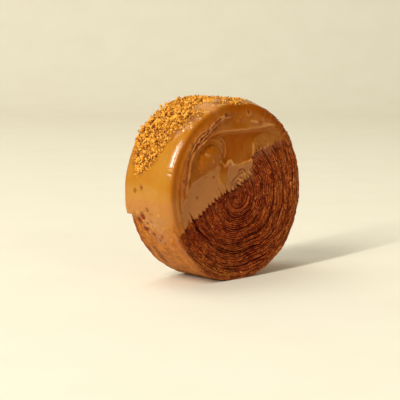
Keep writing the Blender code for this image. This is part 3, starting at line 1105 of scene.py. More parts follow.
    # Ridges down the left, each with its height.
    ridges: tuple[tuple[Table, float], ...] = (
        (((-36.0, 27.0), (-40.8, 19.0), (-43.4, 11.0), (-44.4, 3.0), (-44.3, -5.0), (-43.0, -12.0)), 0.6),
        (((-37.6, 21.5), (-39.9, 14.0), (-40.9, 7.0), (-41.4, 0.0), (-41.3, -6.0)), 0.45),
        (((-33.8, 21.5), (-36.4, 15.0), (-37.4, 9.5), (-38.2, 3.5)), 0.35),
    )
    # Small lumps on the face, and dots sunk in it: x, z, half width and height, which is below 0 for a dot.
    lumps: tuple[tuple[float, float, float, float], ...] = (
        (-1.5, 39.4, 1.6, 0.7), (1.2, 41.2, 1.0, 0.5), (-5.0, 40.6, 1.2, 0.4), (12.0, 38.2, 2.6, 0.35),
        (18.0, 38.6, 2.4, 0.35), (27.5, 37.6, 2.2, 0.3), (-32.5, 14.0, 1.0, 0.4), (-20.5, 24.6, 1.1, 0.35),
        (-12.6, 41.2, 1.0, 0.4), (-30.6, -1.0, 0.8, -0.8), (-24.4, 9.6, 0.7, -0.7), (-18.8, 9.2, 0.8, -0.6),
        (-40.6, 8.5, 0.7, -0.7),
    )  # fmt: skip
    # Bubbles that burst, near the rim of the face as x and z, and on the tread as degrees round the wheel and y.
    pits: Table = ((-10.6, 42.6), (6.6, 43.7))
    tread_pits: Table = (
        (177.2, 8.2), (175.3, 3.0), (192.8, 4.4), (194.6, 8.6), (188.3, -1.0), (202.2, 3.9), (205.4, 0.4),
    )  # fmt: skip
    # Beads of caramel on the tread and along its shown edge, as degrees and y.
    tread_beads: Table = (
        (190.6, -10.3), (199.8, -10.5), (201.8, 6.2), (196.2, 8.8), (195.4, 4.8), (206.0, -6.0), (163.0, -15.6),
        (136.4, -14.3), (132.2, -15.6), (130.1, -14.9), (124.0, -15.8), (121.9, -14.2), (116.6, -15.7), (109.0, -14.8),
        (106.8, -15.7), (97.6, -15.2), (88.4, -15.7),
    )  # fmt: skip

    def dragged(self, x: Array, z: Array) -> tuple[Array, Array]:
        """Where the skin was dragged and torn, upper left.

        Args:
            x: Places to the right of the axle.
            z: Places over the axle.

        Returns:
            How torn it is, how far its strands are raised, both from 0 to 1, and the height of the band beside it.
        """
        noise = self.waves
        down = -0.75 * x - 0.66 * z
        across = beside_path(x, z, self.torn) + 0.4 * noise.at(x, 16.0, z, 5.0, 2)
        inside = ease(1.0, 0.45, np.abs(across) / np.maximum(lookup(self.torn_width, down), 0.01))
        twist = 1.4 * noise.at(across * 0.6, 5.0, down * 0.35, 1.6, 2)
        strands = 0.6 * np.cos(TURN * across / 1.8 + 2 * twist) + 0.8 * noise.at(x, 36.0, z, 1.5)
        torn = inside * ease(0.1, 0.75, strands) * (1 - 0.5 * ease(8.0, 14.0, down))
        raised = inside * ease(0.0, -0.6, strands)
        band = hump(beside_path(x, z, self.pale_band) + 0.5 * noise.at(x, 6.0, z, 5.0, 2), 2.3)
        frayed = 0.35 * band * noise.at(x, 12.0, z, 1.6, 2)
        return torn, raised, 0.45 * band + frayed

    def rim(self, radius: Array) -> Array:
        """Height of the bead inside the rim, at some distances from the axle."""
        place, half_width, height = self.rim_bead
        return height * hump(radius - place, half_width)

    def face_relief(self, x: Array, z: Array) -> tuple[Array, ...]:
        """Thickness and looks of the caramel on the shown face.

        Args:
            x: Places to the right of the axle.
            z: Places over the axle.

        Returns:
            Thickness, and the shares of amber, chalk, grime, pale skin with painted highlight, and film.
        """
        noise = self.waves
        radius = np.hypot(x, z)
        x = x + 0.5 * noise.at(x, 17.0, z, 5.0, 2)
        z = z + 0.5 * noise.at(x, 27.0, z, 5.0, 2)
        near_x, near_z = x + 0.45 * noise.at(x, 19.0, z, 2.2, 2), z + 0.45 * noise.at(x, 29.0, z, 2.2, 2)

        def rough(layer: float, length: float, octaves: int = 2) -> Array:
            """Waves over the face, others for each layer."""
            return noise.at(x, layer, z, length, octaves)

        def crest(path: Table, width: float) -> Array:
            """A round-backed ridge that wanders about its path."""
            return bead(beside_path(near_x, near_z, path), width)

        thick = self.thickness + 0.16 * rough(1.0, 12.0) + 0.05 * rough(3.0, 3.0, 1) + self.rim(radius)
        left = ease(-20.0, -34.0, x - 0.3 * z)

        past_fold = -beside_path(x, z, self.fold)
        step = ease(-0.5, 0.6, past_fold) * (0.35 + 0.65 * ease(11.0, 2.5, past_fold))
        weaker = 1 - 0.45 * ease(12.0, 2.0, z)
        thick = thick + (0.85 * step + 0.45 * hump(past_fold - 0.8, 1.0)) * weaker

        torn, raised, band = self.dragged(x, z)
        thick = thick + band + 0.25 * raised - 0.15 * torn

        pool = ease(-0.3, 0.9, inside_loop(x, z, self.pool))
        sagged = noise.at(x * 3.2, 40.0, z, 8.0, 2)
        thick = thick - 0.4 * pool + 0.14 * sagged * pool

        dome = np.clip(inside_loop(x, z, self.mound) / 6.5, 0.0, 1.0)
        bulge = np.sqrt(1 - (1 - dome) ** 2)
        thick = thick + 1.5 * bulge + 0.35 * rough(9.0, 4.5) * ease(0.0, 0.5, bulge)
        # The swirl's ridges come and go along their way.
        come = np.clip(0.55 + 0.9 * rough(13.0, 5.0), 0.0, 1.0)
        mound_arc = crest(self.mound_arc, 0.9) * come
        arcs = np.maximum(crest(self.swirl_arc, 0.8), crest(self.outer_arc, 0.8)) * come
        thick = thick + 0.8 * mound_arc + 0.5 * arcs

        ribs = np.zeros(x.shape)
        for path, height in self.ridges:
            rib = bead(beside_path(x, z, path), 1.2) * (0.65 + 0.6 * rough(height * 9, 6.0))
            thick = thick + height * rib
            ribs = np.maximum(ribs, rib)
        dots = np.zeros(x.shape)
        for lump_x, lump_z, wide, height in self.lumps:
            lump = hump(np.hypot(x - lump_x, z - lump_z) + 0.25 * rough(5.0, 1.5, 1), wide)
            thick = thick + height * lump
            dots = dots + lump * (height < 0)

        wavy = crest(self.wavy_fold, 0.75) * (0.7 + 0.5 * rough(7.0, 2.5))
        right_edge = crest(self.right_edge, 0.8)
        runnel = ease(4.6, 2.0, np.abs(beside_path(near_x, near_z, self.drip)) + 0.6 * rough(37.0, 3.0, 1))
        creased = np.maximum.reduce([hump(beside_path(near_x, near_z, path), 0.75) for path in self.creases])
        strand = np.maximum.reduce([crest(path, 0.8) for path in self.strands])
        flecked = rough(61.0, 3.0)
        thick = thick + 0.75 * wavy + 0.45 * right_edge + 0.25 * runnel - 0.5 * creased + 0.45 * strand
        pitted, rims = np.zeros(x.shape), np.zeros(x.shape)
        for pit_x, pit_z in self.pits:
            away = np.hypot(x - pit_x, z - pit_z)
            pitted = np.maximum(pitted, hump(away, 1.4))
            rims = np.maximum(rims, hump(away - 1.9, 0.8))
        thick = thick + 0.4 * rims - 1.5 * pitted

        # Where the caramel is thinnest, the layers of the dough show through as arcs round the axle.
        dusty = ease(-1.4, 1.6, inside_loop(x, z, self.dusty) + 0.9 * rough(33.0, 3.0)) * (1 - runnel)
        right = ease(10, 17, x) * ease(0.5, -2.0, past_fold)
        turned = np.arctan2(z, x)
        through = 0.16 * noise.at(radius * 3.0, 4.0, turned * 12, 2.2, 2) * right
        along, over = self.wheel.over_dip(x, z)
        bared = ease(7.4, 5.4, over) * ease(-5.5, -1.5, along) * ease(19.0, 15.0, along)
        turns = noise.at(radius * 2.6, 24.0, turned * 7, 2.0, 2)
        thick = thick - 0.35 * dusty - 0.3 * right + through + (0.3 * turns - 0.1) * bared

        # The caramel is a deeper amber where it is thicker, and chalky where it dried thin.
        thicker = np.maximum(np.maximum(pool, ease(0.0, 0.7, bulge)), runnel)
        amber = np.clip(0.72 + 0.2 * rough(44.0, 8.0) + 0.25 * thicker, 0, 1) * (1 - 0.9 * torn)
        valley = ease(0.1, -0.5, noise.at(radius * 1.1, 3.0, turned * 6, 2.0, 2))
        amber = np.clip(amber + 0.4 * left * valley * (1 - dusty), 0, 1)
        # Above the step the dried skin is chalky, and the same chalk paints a sheen there.
        skin_and_sheen = step * weaker * np.clip(0.2 + 0.45 * rough(51.0, 8.0), 0, 1)
        chalk = np.clip(0.9 * dusty + 0.18 * right + 0.35 * band + skin_and_sheen, 0, 1)
        amber = amber * (1 - np.clip(1.1 * dusty + 0.5 * band, 0, 1)) * (1 - 0.4 * runnel * ease(13.0, 9.0, z))
        amber = amber * (1 - 0.18 * ease(0.2, 0.8, bulge))

        # Crests are pale with a dry skin, and the same pale paints a highlight on them. Dirt and painted shade gather
        # in what is torn, creased or sunk.
        lip_highlight = hump(past_fold - 0.9, 1.1) * (0.6 + 0.5 * rough(11.0, 5.0))
        crests = (
            0.42 * wavy, 0.6 * mound_arc, 0.2 * arcs, 0.2 * right_edge, 0.3 * rims, 0.35 * lip_highlight,
            0.45 * bared * ease(0.0, 0.6, turns), 0.35 * strand * ease(-0.1, 0.3, flecked), 0.2 * ribs, 0.35 * raised,
        )  # fmt: skip
        pale = np.clip(np.maximum.reduce(crests), 0, 1) * (1 - torn)
        grime = np.maximum.reduce((0.62 * torn, 0.9 * pitted, 0.6 * dots))
        grime = grime + 0.3 * left * ease(0.4, 1.0, rough(8.0, 1.5))
        bruise = hump(beside_path(x, z, self.torn), 5.5) * (0.6 + 0.7 * rough(18.0, 1.9, 3))
        grime = grime + 0.6 * np.clip(bruise, 0, 1) * (1 - raised)
        grime = grime + 0.6 * creased + 0.55 * bared * ease(0.0, -0.5, turns)
        grime = grime + 0.5 * strand * ease(0.15, -0.25, flecked)
        # A dark line just under the step is a painted shadow.
        grime = grime + 0.25 * hump(past_fold + 0.6, 0.9) * weaker
        return thick, amber, chalk, np.clip(grime, 0, 1), pale, np.zeros(x.shape)

    def tread_relief(self, angle: Array, y: Array) -> tuple[Array, ...]:
        """Thickness and looks of the caramel over the tread and the rounded edges.

        Args:
            angle: Places round the wheel.
            y: Places along the axle.

        Returns:
            Thickness, and the shares of amber, chalk, grime, pale skin with painted highlight, and film.
        """
        noise, wheel = self.waves, self.wheel
        degrees = np.degrees(angle)
        around = wheel.around(angle, y)
        thick = self.thickness + 0.15 + 0.25 * noise.at(*around, 16.0, 2) + 0.03 * noise.at(*around, 2.5)
        # Under the crumbs it is thicker and uneven, and painted darker as painted shade between them.
        crumbs = CrumbField.inside(degrees, y) + 1.5 * noise.at(*around, 4.0, 2)
        crumbs = ease(-1.5, 3.5, crumbs) * ease(-17.0, -14.0, y) * ease(17.3, 13.5, y)
        thick = thick + 0.2 * crumbs * (1 + noise.at(*around, 2.2, 2))
        grime = crumbs * (0.3 + 0.5 * ease(72.0, 100.0, degrees))
        pale = np.zeros(crumbs.shape)
        # Pits are sunk and painted dark inside, which is painted shade, with a raised rim round them.
        for pit_angle, pit_y in self.tread_pits:
            away = np.hypot(wheel.arc(degrees - pit_angle), y - pit_y)
            wide = 1.5 if pit_angle < 190 else 2.3
            uneven = away + 0.8 * noise.at(*around, 1.4, 2)
            thick = thick - 0.6 * hump(uneven, wide) + 0.2 * hump(away - wide - 0.3, 0.8)
            grime = grime + 0.85 * hump(uneven, wide)
        # Beads are raised and painted pale: dried skin and a painted highlight.
        for bead_angle, bead_y in self.tread_beads:
            away = np.hypot(wheel.arc(degrees - bead_angle), (y - bead_y) * 1.3)
            lump = hump(away + 0.3 * noise.at(*around, 1.4), 1.4)
            thick = thick + lump
            pale = np.maximum(pale, 0.6 * lump)
        # Below, in front of a thick ledge, it was wiped to a film with bumps in it.
        thin = ease(188, 203, degrees + 3 * noise.at(*around, 6.0, 2)) * ease(12.0, 7.0, y)
        rough = noise.at(*around, 3.0, 3)
        thick = thick - 0.95 * thin + 0.42 * rough * thin
        grime = grime + 0.7 * thin * ease(0.25, 0.7, rough) * ease(-13.0, -9.0, y)
        # Low on the left it is gritty: raised grains are pale and low ones dark, painted light and shade with specks.
        grit = ease(185, 193, degrees + 3 * rough) * ease(-7.0, 1.0, y + 4 * rough) * ease(16.5, 13.0, y)
        grains = noise.at(*around, 1.5, 2)
        thick = thick + 0.4 * grit * np.maximum(grains, -0.3)
        grime = grime + 0.75 * grit * ease(-0.1, -0.45, grains)
        pale = np.maximum(pale, 0.55 * grit * ease(0.35, 0.8, grains))
        # On the right shoulder it was scuffed while it set.
        scuffed = ease(70.0, 62.0, degrees) * ease(-11.0, -15.0, y)
        thick = thick + 0.7 * scuffed * grains
        grime = grime + 0.6 * scuffed * ease(0.0, 0.5, grains)
        # The film ends in a blush of dried caramel that also paints a sheen, and thick edges are amber.
        film = 0.95 * ease(194, 205, degrees + 5 * rough + 2 * noise.at(*around, 7.0)) * ease(12.0, 7.0, y)
        blush_and_sheen = ease(179, 185, degrees + 2 * noise.at(*around, 8.0)) * ease(210, 196, degrees) * ease(17.0, 13.0, y)
        thick = thick - 0.7 * ease(46, 37, degrees)
        amber = 0.15 * ease(182, 172, degrees) * (1 - crumbs) + 0.65 * ease(-14.8, -17.0, y)
        # Past the crumbs' right end, by the shown edge, deeper amber is painted shade under the crumbs.
        amber = amber + 0.35 * ease(106.0, 94.0, degrees) * ease(-13.5, -16.0, y)
        amber = np.clip(np.maximum(amber, 0.55 * ease(84, 62, degrees)) + 0.45 * ease(13.5, 17.0, y), 0, 1)
        none = np.zeros(np.broadcast(degrees, y).shape)
        # A bare patch in the crumbs is chalky and pale: dried caramel with a painted sheen.
        bare = ease(1.0, 0.5, CrumbField.from_patch(degrees, y, CrumbField.BARE[0]))
        chalk = np.maximum(0.5 * blush_and_sheen * (1 - film), 0.5 * bare)
        pale = np.maximum(pale, 0.15 * bare)
        return thick + none, amber + none, chalk + none, np.clip(grime, 0, 1) + none, pale + none, film + none

    def far_relief(self, x: Array, z: Array) -> tuple[Array, ...]:
        """Thickness and looks of the caramel on the far face: slow folds round the axle, dry near its edge.

        Args:
            x: Places to the right of the axle.
            z: Places over the axle.

        Returns:
            Arrays as for the shown face.
        """
        noise = self.waves
        radius = np.hypot(x, z)
        _, over = self.wheel.over_dip(x, z)
        thick = self.thickness + 0.3 * noise.at(x, 21.0, z, 13.0, 2) + self.rim(radius)
        arc = np.arctan2(z, x) * 9
        folds = noise.at(radius * 1.2, 3.0, arc, 7.0, 3)
        thick = thick + 0.6 * ease(-0.1, 0.35, folds) + 0.25 * hump(folds - 0.3, 0.25)
        dry = ease(10.0, 4.0, over - 4.5 + 3 * noise.at(x, 2.0, z, 8.0, 2))
        amber = 0.5 + 0.3 * ease(0.0, 0.5, noise.at(x, 14.0, z, 15.0)) + 0.3 * ease(0.0, -0.5, folds)
        grime = 0.5 * ease(0.55, 0.8, noise.at(x, 34.0, z, 2.0, 2)) * ease(20.0, 40.0, radius)
        none = np.zeros(x.shape)
        return thick - 0.3 * dry, np.clip(amber, 0, 1) * (1 - dry), 0.8 * dry, grime, none, none

    def spread(self) -> Array:
        """Shares of the way from the right end to the left end, closest together at the ends."""
        even = np.linspace(0.0, 1.0, self.columns)[None, :]
        return even - self.gather / TURN * np.sin(TURN * even)

    def sweep(self, y: Array) -> tuple[Array, Array, Array]:
        """Angles of the sheet at some places along the axle.

        Args:
            y: The places.

        Returns:
            Its right end, its left end, and its columns between them.
        """
        right, left = self.dip.end_angle(y, False), self.dip.end_angle(y, True)
        return right, left, right + (left - right) * self.spread()

    def fan(self, side: Side, rows: int) -> tuple[Array, Array, Array]:
        """Points of a face that fan out from the middle of the dip line to the rim.

        Args:
            side: Which face.
            rows: How many rows, from the middle outwards.

        Returns:
            x, z and the distance from the toothed edge, in arrays of rows by columns.
        """
        wheel, level = self.wheel, self.dip.level
        y = np.array(side.value * wheel.width / 2)
        _, _, angle = self.sweep(y)
        rim_along = wheel.face_radius * np.cos(angle - wheel.dip_slope)
        rim_over = wheel.face_radius * np.sin(angle - wheel.dip_slope)
        start = level(np.array(0.0), y)
        share = np.linspace(0.0, 1.0, rows)[:, None] ** 0.92
        along = share * rim_along
        over = start + share * (rim_over - start)
        end = np.where(along > 0, rim_along[0, 0], rim_along[0, -1])
        end_over = np.where(along > 0, rim_over[0, 0], rim_over[0, -1])
        straight = start + (end_over - start) * along / end
        edge = level(along, y) * (1 - share**6) + straight * share**6
        over = over + (edge - straight) * ease(11.0, 0.0, over - straight)
        far_out = np.maximum(1.0, np.hypot(along, over) / wheel.face_radius)
        along, over = along / far_out, over / far_out
        cosine, sine = math.cos(wheel.dip_slope), math.sin(wheel.dip_slope)
        return along * cosine - over * sine, along * sine + over * cosine, over - edge

    def finish_edge(self, thick: Array, distance: Array, film: Array) -> Array:
        """Rounds the caramel down to its edge, which bites into the dough, more slowly where it is a film."""
        inward = np.clip(distance / (self.lip + 1.6 * film), 0.0, 1.0)
        return -self.bite + (thick + self.bite) * np.sqrt(1 - (1 - inward) ** 2)

    def face_sheet(self, side: Side, rows: int) -> Sheet:
        """The caramel on one face.

        Args:
            side: Which face.
            rows: How many rows, from the middle outwards.

        Returns:
            The sheet, its places as radius, angle and y.
        """
        wheel = self.wheel
        x, z, distance = self.fan(side, rows)
        radius, angle = np.hypot(x, z), np.arctan2(z, x) % TURN
        relief = self.face_relief if side is Side.SHOWN else self.far_relief
        y = np.full(x.shape, side.value * wheel.width / 2)
        inner, outer = relief(x, z), self.tread_relief(angle, y)
        blend = ease(0.9 * wheel.face_radius, wheel.face_radius, radius)
        thick, *looks = [a + (b - a) * blend for a, b in zip(inner, outer)]
        return Sheet(np.stack((radius, angle, y), -1), looks, self.finish_edge(thick, distance, looks[-1]))

    def edge_sheet(self) -> Sheet:
        """The caramel over the rounded edges and the tread.

        Returns:
            The sheet, its places as y of the middle that a row is rounded about, angle, and side by the sign of y.
        """
        wheel = self.wheel
        lean = np.linspace(0.0, math.pi / 2, self.edge_rows + 1)[1:]
        across = np.linspace(-wheel.half_tread, wheel.half_tread, self.tread_rows)[1:-1]
        side = np.concatenate((np.full(lean.shape, -1.0), np.zeros(across.shape), np.full(lean.shape, 1.0)))
        centre_y = side * wheel.half_tread
        centre_y[side == 0] = across
        tilt = np.concatenate((lean, np.full(across.shape, math.pi / 2), lean[::-1]))
        y = (centre_y + side * wheel.edge * np.cos(tilt))[:, None]
        right, left, angle = self.sweep(y)
        thick, *looks = self.tread_relief(angle, np.broadcast_to(y, angle.shape))
        distance = wheel.radius * np.minimum(angle - right, left - angle)
        thick = self.finish_edge(thick, distance, looks[-1])
        places = np.stack(np.broadcast_arrays(centre_y[:, None], angle, side[:, None]), -1)
        return Sheet(places, looks, thick, tilt[:, None])

    def face_points(self, sheet: Sheet) -> Array:
        """Points of a face's sheet, in millimetres round the axle."""
        radius, angle, y = np.moveaxis(sheet.places, -1, 0)
        return ring_points(self.wheel.reach(radius, angle), angle, y + np.sign(y) * sheet.thick)

    def edge_points(self, sheet: Sheet) -> Array:
        """Points of the sheet over the edges and the tread, in millimetres round the axle."""
        wheel, thick = self.wheel, sheet.thick
        centre_y, angle, side = np.moveaxis(sheet.places, -1, 0)
        squarer = wheel.squarer(sheet.tilt, wheel.coat_squareness)
        out = (wheel.edge + thick) * np.where(thick < -self.bite - self.inner_depth / 2, 1.0, squarer)
        y = centre_y + side * out * np.cos(sheet.tilt)
        drop = wheel.fall(y) * ease(-1.0, 1.0, thick)
        radius = wheel.face_radius + np.maximum(out - drop, 0.0) * np.sin(sheet.tilt)
        return ring_points(wheel.reach(radius, angle), angle, y)

    def surface(self, shown: Sheet, edges: Sheet, far: Sheet) -> Array:
        """All the sheets' points as one lattice, from the shown face over the tread to the far one.

        Args:
            shown: The sheet on the shown face.
            edges: The one over the edges and the tread.
            far: The one on the far face.

        Returns:
            Rows by columns of points in millimetres, round the axle.
        """
        return np.concatenate((self.face_points(shown), self.edge_points(edges), self.face_points(far)[::-1]))

    def build(self) -> bpy.types.Object:
        """Makes the coat in its finish, on the body that it belongs to."""
        shown, far = self.face_sheet(Side.SHOWN, self.face_rows), self.face_sheet(Side.FAR, self.far_rows)
        sheets = (shown, self.edge_sheet(), far)
        outside = self.surface(*sheets)
        level = -self.bite - self.inner_depth
        inside = self.surface(*(replace(sheet, thick=np.full(sheet.thick.shape, level)) for sheet in sheets))
        # The inner side is out of sight in the dough, so a few of its columns are enough.
        few = np.linspace(self.columns - 1, 0, self.inner_columns).round().astype(int)
        both = np.concatenate((outside, inside[:, few]), axis=1)
        points = self.wheel.in_metres(both[..., 0], both[..., 1], both[..., 2]).reshape(-1, 3)
        points, faces, kept = weld(points, lattice_faces(*both.shape[:2], wrap=True))
        values = {}
        for attribute, *looks in zip(self.LOOKS, *(sheet.looks for sheet in sheets)):
            look = np.concatenate((looks[0], looks[1], looks[2][::-1]))
            values[attribute] = np.concatenate((look, look[:, few]), axis=1).reshape(-1)[kept]
        made = mesh_object("caramel_sheet", points, faces, values)
        made.data.materials.append(SetCaramel().material())
        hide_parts("caramel_coat")
        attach(made, "root")
        return made


@dataclass
class CrumbField:
    """The biscuit crumbs that stuck to the tread while the caramel was soft."""

    wheel: Wheel
    waves: Waves
    seed: int = 11
    count: int = 8400
    shapes: int = 24
    # How many places are tried for each crumb that is wanted.
    tries: int = 12
    radius_low: float = 0.3
    radius_high: float = 1.02
    # The higher this is, the fewer are large.
    size_power: float = 3.4
    height: float = 1.5
    pile_height: float = 0.9
    # The share that lies on top of all the others.
    top_share: float = 0.03
    # Dark strays on the shoulder, right of the field.
    strays: int = 70
    stray_degrees: tuple[float, float] = (38.0, 67.0)
    stray_across: tuple[float, float] = (-18.0, -10.0)
    # Each crumb is a ball of this many corners.
    CORNERS: ClassVar[int] = 12
    # The field's two long borders as degrees round the wheel and y, and the bare patches in it, each with its
    # middle and its half length and half width in millimetres.
    NEAR: ClassVar[Table] = (
        (66, -3.0), (72, -13.0), (79, -19.0), (88, -20.5), (96, -19.5), (101, -17.0), (118, -16.4), (128, -15.8),
        (135, -13.8), (143, -10.5), (151, -8.0), (158, -6.2), (161, -4.4), (164, -2.0), (166, 1.5), (168.5, 7.0),
    )  # fmt: skip
    FAR: ClassVar[Table] = ((66, 30.0), (135, 30.0), (143, 19.5), (152, 16.5), (160, 13.0), (165, 10.5), (168.5, 9.0))
    BARE: ClassVar[tuple[tuple[float, float, float, float], ...]] = ((112.0, -12.6, 4.4, 5.6), (98.5, -7.5, 2.6, 4.0))

    @staticmethod
    def from_patch(degrees: Array, y: Array, patch: tuple[float, float, float, float]) -> Array:
        """How far places are from the middle of a bare patch.

        Args:
            degrees: Places round the wheel.
            y: Places along the axle.
            patch: One of the bare patches.

        Returns:
            Shares of the way to its border, over 1 outside it.
        """
        middle, middle_y, half_length, half_width = patch
        return np.hypot((degrees - middle) * DEGREE / half_length, (y - middle_y) / half_width)

    @classmethod
    def inside(cls, degrees: Array, y: Array) -> Array:
        """How far inside the field's borders places are.

        Args:
            degrees: Places round the wheel.
            y: Places along the axle.

        Returns:
            About the distance in millimetres, negative outside.
        """
        depth = np.minimum(y - lookup(cls.NEAR, degrees), lookup(cls.FAR, degrees) - y)
        depth = np.minimum(depth, np.minimum(degrees - cls.NEAR[0][0], cls.NEAR[-1][0] - degrees) * 0.9)
        for patch in cls.BARE:
            depth = np.minimum(depth, 3.0 * (cls.from_patch(degrees, y, patch) - 1.0))
        return depth

    def spots(self, draws: np.random.Generator) -> tuple[Array, Array, Array]:
        """Places where crumbs lie.

        Args:
            draws: The source of chance.

        Returns:
            Angles, places across the tread, and how far inside the field each is.
        """
        degrees = draws.uniform(self.NEAR[0][0] - 2, self.NEAR[-1][0] + 3, self.tries * self.count)
        far = self.wheel.half_tread + 3.5
        across = draws.uniform(-far - 1.8, far, degrees.size)
        inside = self.inside(degrees, across)
        ragged = 1.6 * self.waves.at(degrees, across, 4.0, 4.0, 2)
        keep = (inside + ragged > 0) & (draws.random(degrees.size) < 0.25 + 0.75 * ease(0.0, 2.5, inside + ragged))
        places = [values[keep][: self.count] for values in (degrees, across, inside)]
        places[0] = np.concatenate((draws.uniform(*self.stray_degrees, self.strays), places[0]))
        places[1] = np.concatenate((draws.uniform(*self.stray_across, self.strays), places[1]))
        places[2] = np.concatenate((np.full(self.strays, 2.0), places[2]))
        return np.radians(places[0]), places[1], places[2]

    def grain_shapes(self, draws: np.random.Generator) -> tuple[Array, Array]:
        """Some angular grains of about unit radius, from a ball of twelve corners.

        Args:
            draws: The source of chance.

        Returns:
            Corners, an array of shapes by 12 by 3, and the 20 faces that they all share.
        """
        golden = (1 + math.sqrt(5)) / 2
        corners = np.array(
            [(0, a, b * golden) for a in (-1, 1) for b in (-1, 1)]
            + [(a, b * golden, 0) for a in (-1, 1) for b in (-1, 1)]
            + [(b * golden, 0, a) for a in (-1, 1) for b in (-1, 1)]
        )
        corners = corners / np.linalg.norm(corners[0])
        near = np.linalg.norm(corners[:, None] - corners[None], axis=2) < 1.1
        faces = []
        for a, b, c in combinations(range(self.CORNERS), 3):
            if near[a, b] and near[b, c] and near[a, c]:
                out = np.cross(corners[b] - corners[a], corners[c] - corners[a]) @ corners[a] > 0
                faces.append((a, b, c) if out else (a, c, b))
        stretch = draws.uniform(0.65, 1.2, (self.shapes, self.CORNERS, 1))
        squash = draws.uniform(0.42, 1.45, (self.shapes, 1, 3))
        return corners[None] * stretch * squash, np.array(faces)

    def build(self) -> bpy.types.Object:
        """Makes all the crumbs as one mesh, in their finish, on the body that they belong to."""
        draws = np.random.default_rng(self.seed)
        angle, across, inside = self.spots(draws)
        count = angle.size
        shapes, faces = self.grain_shapes(draws)
        size = self.radius_low + (self.radius_high - self.radius_low) * draws.random(count) ** self.size_power
        size = size * (0.6 + 0.4 * ease(0.0, 3.0, inside))
        # A second layer lies on the first in the middle of the field. At its right end they are small and sunken.
        risen = ease(80.0, 108.0, np.degrees(angle))
        size = size * (0.75 + 0.25 * risen)
        # They lie in clumps, with hollows between.
        clump = ease(-0.12, 0.12, self.waves.at(np.degrees(angle) * DEGREE, across, 7.0, 1.9, 2))
        pile = (draws.random(count) < 0.2 + 0.5 * clump) * self.pile_height * ease(1.0, 5.0, inside) * risen
        size = size * (0.85 + 0.25 * clump)
        pile = pile + (draws.random(count) < self.top_share) * self.pile_height * ease(2.0, 6.0, inside)
        spin = np.linalg.qr(draws.normal(size=(count, 3, 3)))[0]
        spin[:, :, 0] *= np.sign(np.linalg.det(spin))[:, None]
        grains = np.einsum("nij,nkj->nki", spin, shapes[draws.integers(0, self.shapes, count)])
        grains = grains * size[:, None, None]

        # Past the tread's ends they lie round the edges.
        wheel = self.wheel
        over_edge = np.clip(np.abs(across) - wheel.half_tread, 0.0, None)
        round_radius = wheel.edge + self.height
        lean = np.clip(over_edge / round_radius, 0.0, 1.35)
        height = self.height * (0.8 + 0.2 * risen) + pile + 0.3 * size
        out = (wheel.edge + height) * wheel.squarer(lean, wheel.coat_squareness)
        y = np.sign(across) * (np.minimum(np.abs(across), wheel.half_tread) + out * np.sin(lean))
        radius = wheel.face_radius + (out - wheel.fall(y)) * np.cos(lean)
        reach = wheel.reach(radius, angle)
        points = (grains + ring_points(reach, angle, y)[:, None]).reshape(-1, 3)
        points = wheel.in_metres(points[:, 0], points[:, 1], points[:, 2])
        numbers = (np.arange(count)[:, None, None] * self.CORNERS + faces[None]).reshape(-1, 3)
        shade = draws.random(count)
        shade[: self.strays] = 0.9
        shade = np.repeat(shade, self.CORNERS)
        made = mesh_object("biscuit_crumbs", points, numbers, {Attribute.SHADE: shade}, smooth=False)
        made.data.materials.append(BiscuitCrumb().material())
        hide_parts("caramel_coat")
        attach(made, "root")
        return made


# ---------------------------------------------------------------- the studio


@dataclass(frozen=True)
class Lamp:
    """A soft oblong light: where it stands from the roll, its width and height in metres, and its power in watts."""

    name: str
    direction: tuple[float, float, float]
    size: tuple[float, float]
    power: float


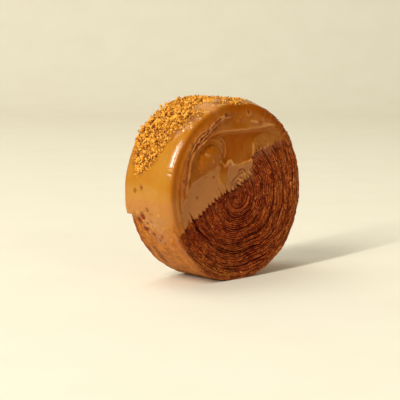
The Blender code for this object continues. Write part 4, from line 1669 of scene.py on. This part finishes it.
@dataclass
class Studio:
    """The pale ground, the soft lights and the camera."""

    wheel: Wheel
    azimuth: float = -42.8
    elevation: float = 6.8
    distance: float = 632.0
    field_of_view: float = 20.0
    shift: tuple[float, float] = (-0.0423, -0.0285)
    # The streak is a tall narrow lamp in front of the key light that draws a streak along the crest. The glint is a
    # small one in front that draws glints on the folds and adds little light.
    lamps: tuple[Lamp, ...] = (
        Lamp("key", (-0.82, -0.12, 0.58), (0.9, 1.4), 27.5),
        Lamp("top", (-0.2, 0.35, 1.0), (2.0, 2.0), 36.0),
        Lamp("streak", (-0.8, -0.13, 0.59), (0.1, 2.0), 58.0),
        Lamp("glint", (-0.1, -0.9, 0.5), (0.16, 0.16), 6.0),
    )
    lamp_distance: float = 3.0
    ambient: float = 0.21
    # The ground in metres: how far it comes forwards, where it starts to bend up, the bend's radius, the backdrop's
    # height, and half its width.
    floor_front: float = 2.0
    floor_back: float = 1.6
    bend_radius: float = 0.6
    backdrop_height: float = 3.0
    half_width: float = 3.0
    light_colour: str = "#fffaf2"
    room_colour: str = "#fdfaf3"

    def backwards(self) -> Array:
        """Direction from the roll to the camera."""
        turn, rise = math.radians(self.azimuth), math.radians(self.elevation)
        return np.array((math.sin(turn) * math.cos(rise), -math.cos(turn) * math.cos(rise), math.sin(rise)))

    def ground(self) -> bpy.types.Object:
        """A floor that sweeps up into a backdrop behind the roll, as the camera sees it."""
        away = -self.backwards() * (1, 1, 0)
        away = away / np.linalg.norm(away)
        beside = np.array((-away[1], away[0], 0.0))
        bend = np.linspace(0.0, math.pi / 2, 13)
        start, radius = self.floor_back, self.bend_radius
        run = np.concatenate(((-self.floor_front,), start + radius * np.sin(bend), (start + radius,)))
        rise = np.concatenate(((0.0,), radius - radius * np.cos(bend), (self.backdrop_height,)))
        line = run[:, None] * away + rise[:, None] * np.array((0.0, 0.0, 1.0))
        points = np.stack((line - self.half_width * beside, line + self.half_width * beside), 1).reshape(-1, 3)
        made = mesh_object("ground", points, lattice_faces(len(run), 2)[:, ::-1], {})
        made.data.materials.append(PaintedBoard().material())
        return made

    def light(self, lamp: Lamp) -> None:
        """Adds a lamp that faces the roll."""
        data = bpy.data.lights.new(lamp.name, "AREA")
        data.energy = lamp.power
        data.shape = "RECTANGLE"
        data.size, data.size_y = lamp.size
        data.color = linear(self.light_colour)[:3]
        made = bpy.data.objects.new(lamp.name, data)
        target = np.array((0.0, 0.0, self.wheel.axle_height * MM))
        unit = np.array(lamp.direction) / np.linalg.norm(lamp.direction)
        made.location = target + unit * self.lamp_distance
        made.rotation_euler = self.aim(-unit)
        bpy.context.scene.collection.objects.link(made)

    def aim(self, direction: Array) -> tuple[float, float, float]:
        """Rotation that turns a light or a camera to a direction, its top kept up."""
        level = math.hypot(direction[0], direction[1])
        return (math.atan2(level, -direction[2]), 0.0, math.atan2(-direction[0], direction[1]))

    def camera(self) -> None:
        """Adds the camera at its viewing angle, with the roll in its place in the frame."""
        data = bpy.data.cameras.new("camera")
        data.lens = data.sensor_width / 2 / math.tan(math.radians(self.field_of_view) / 2)
        data.shift_x, data.shift_y = self.shift
        data.clip_start = 0.01
        made = bpy.data.objects.new("camera", data)
        back = self.backwards()
        made.location = self.wheel.in_metres(*(back * self.distance))
        made.rotation_euler = self.aim(-back)
        bpy.context.scene.collection.objects.link(made)
        bpy.context.scene.camera = made

    def build(self) -> None:
        """Sets up the ground, the lights, the air's own light and the camera."""
        self.ground()
        for lamp in self.lamps:
            self.light(lamp)
        # Plain tone mapping keeps the colours of paint and food as they are given.
        bpy.context.scene.view_settings.view_transform = "Standard"
        world = bpy.data.worlds.new("soft room")
        bpy.context.scene.world = world
        world.use_nodes = True
        background = world.node_tree.nodes["Background"]
        background.inputs["Color"].default_value = linear(self.room_colour)
        background.inputs["Strength"].default_value = self.ambient
        self.camera()


def main() -> None:
    """Builds the roll, its caramel and crumbs, and the studio, and reports each piece."""
    logging.basicConfig(level=logging.INFO, format="%(name)s: %(message)s")
    wheel = Wheel()
    dip = DipLine(wheel, Waves(5))
    pieces = (
        BakedRoll(wheel, dip, Waves(1)),
        CaramelCoat(wheel, dip, Waves(2)),
        CrumbField(wheel, Waves(3)),
    )
    for piece in pieces:
        made = piece.build()
        log.info("%s: %d triangles", made.name, len(made.data.polygons))
    Studio(wheel).build()


if __name__ == "__main__":
    main()
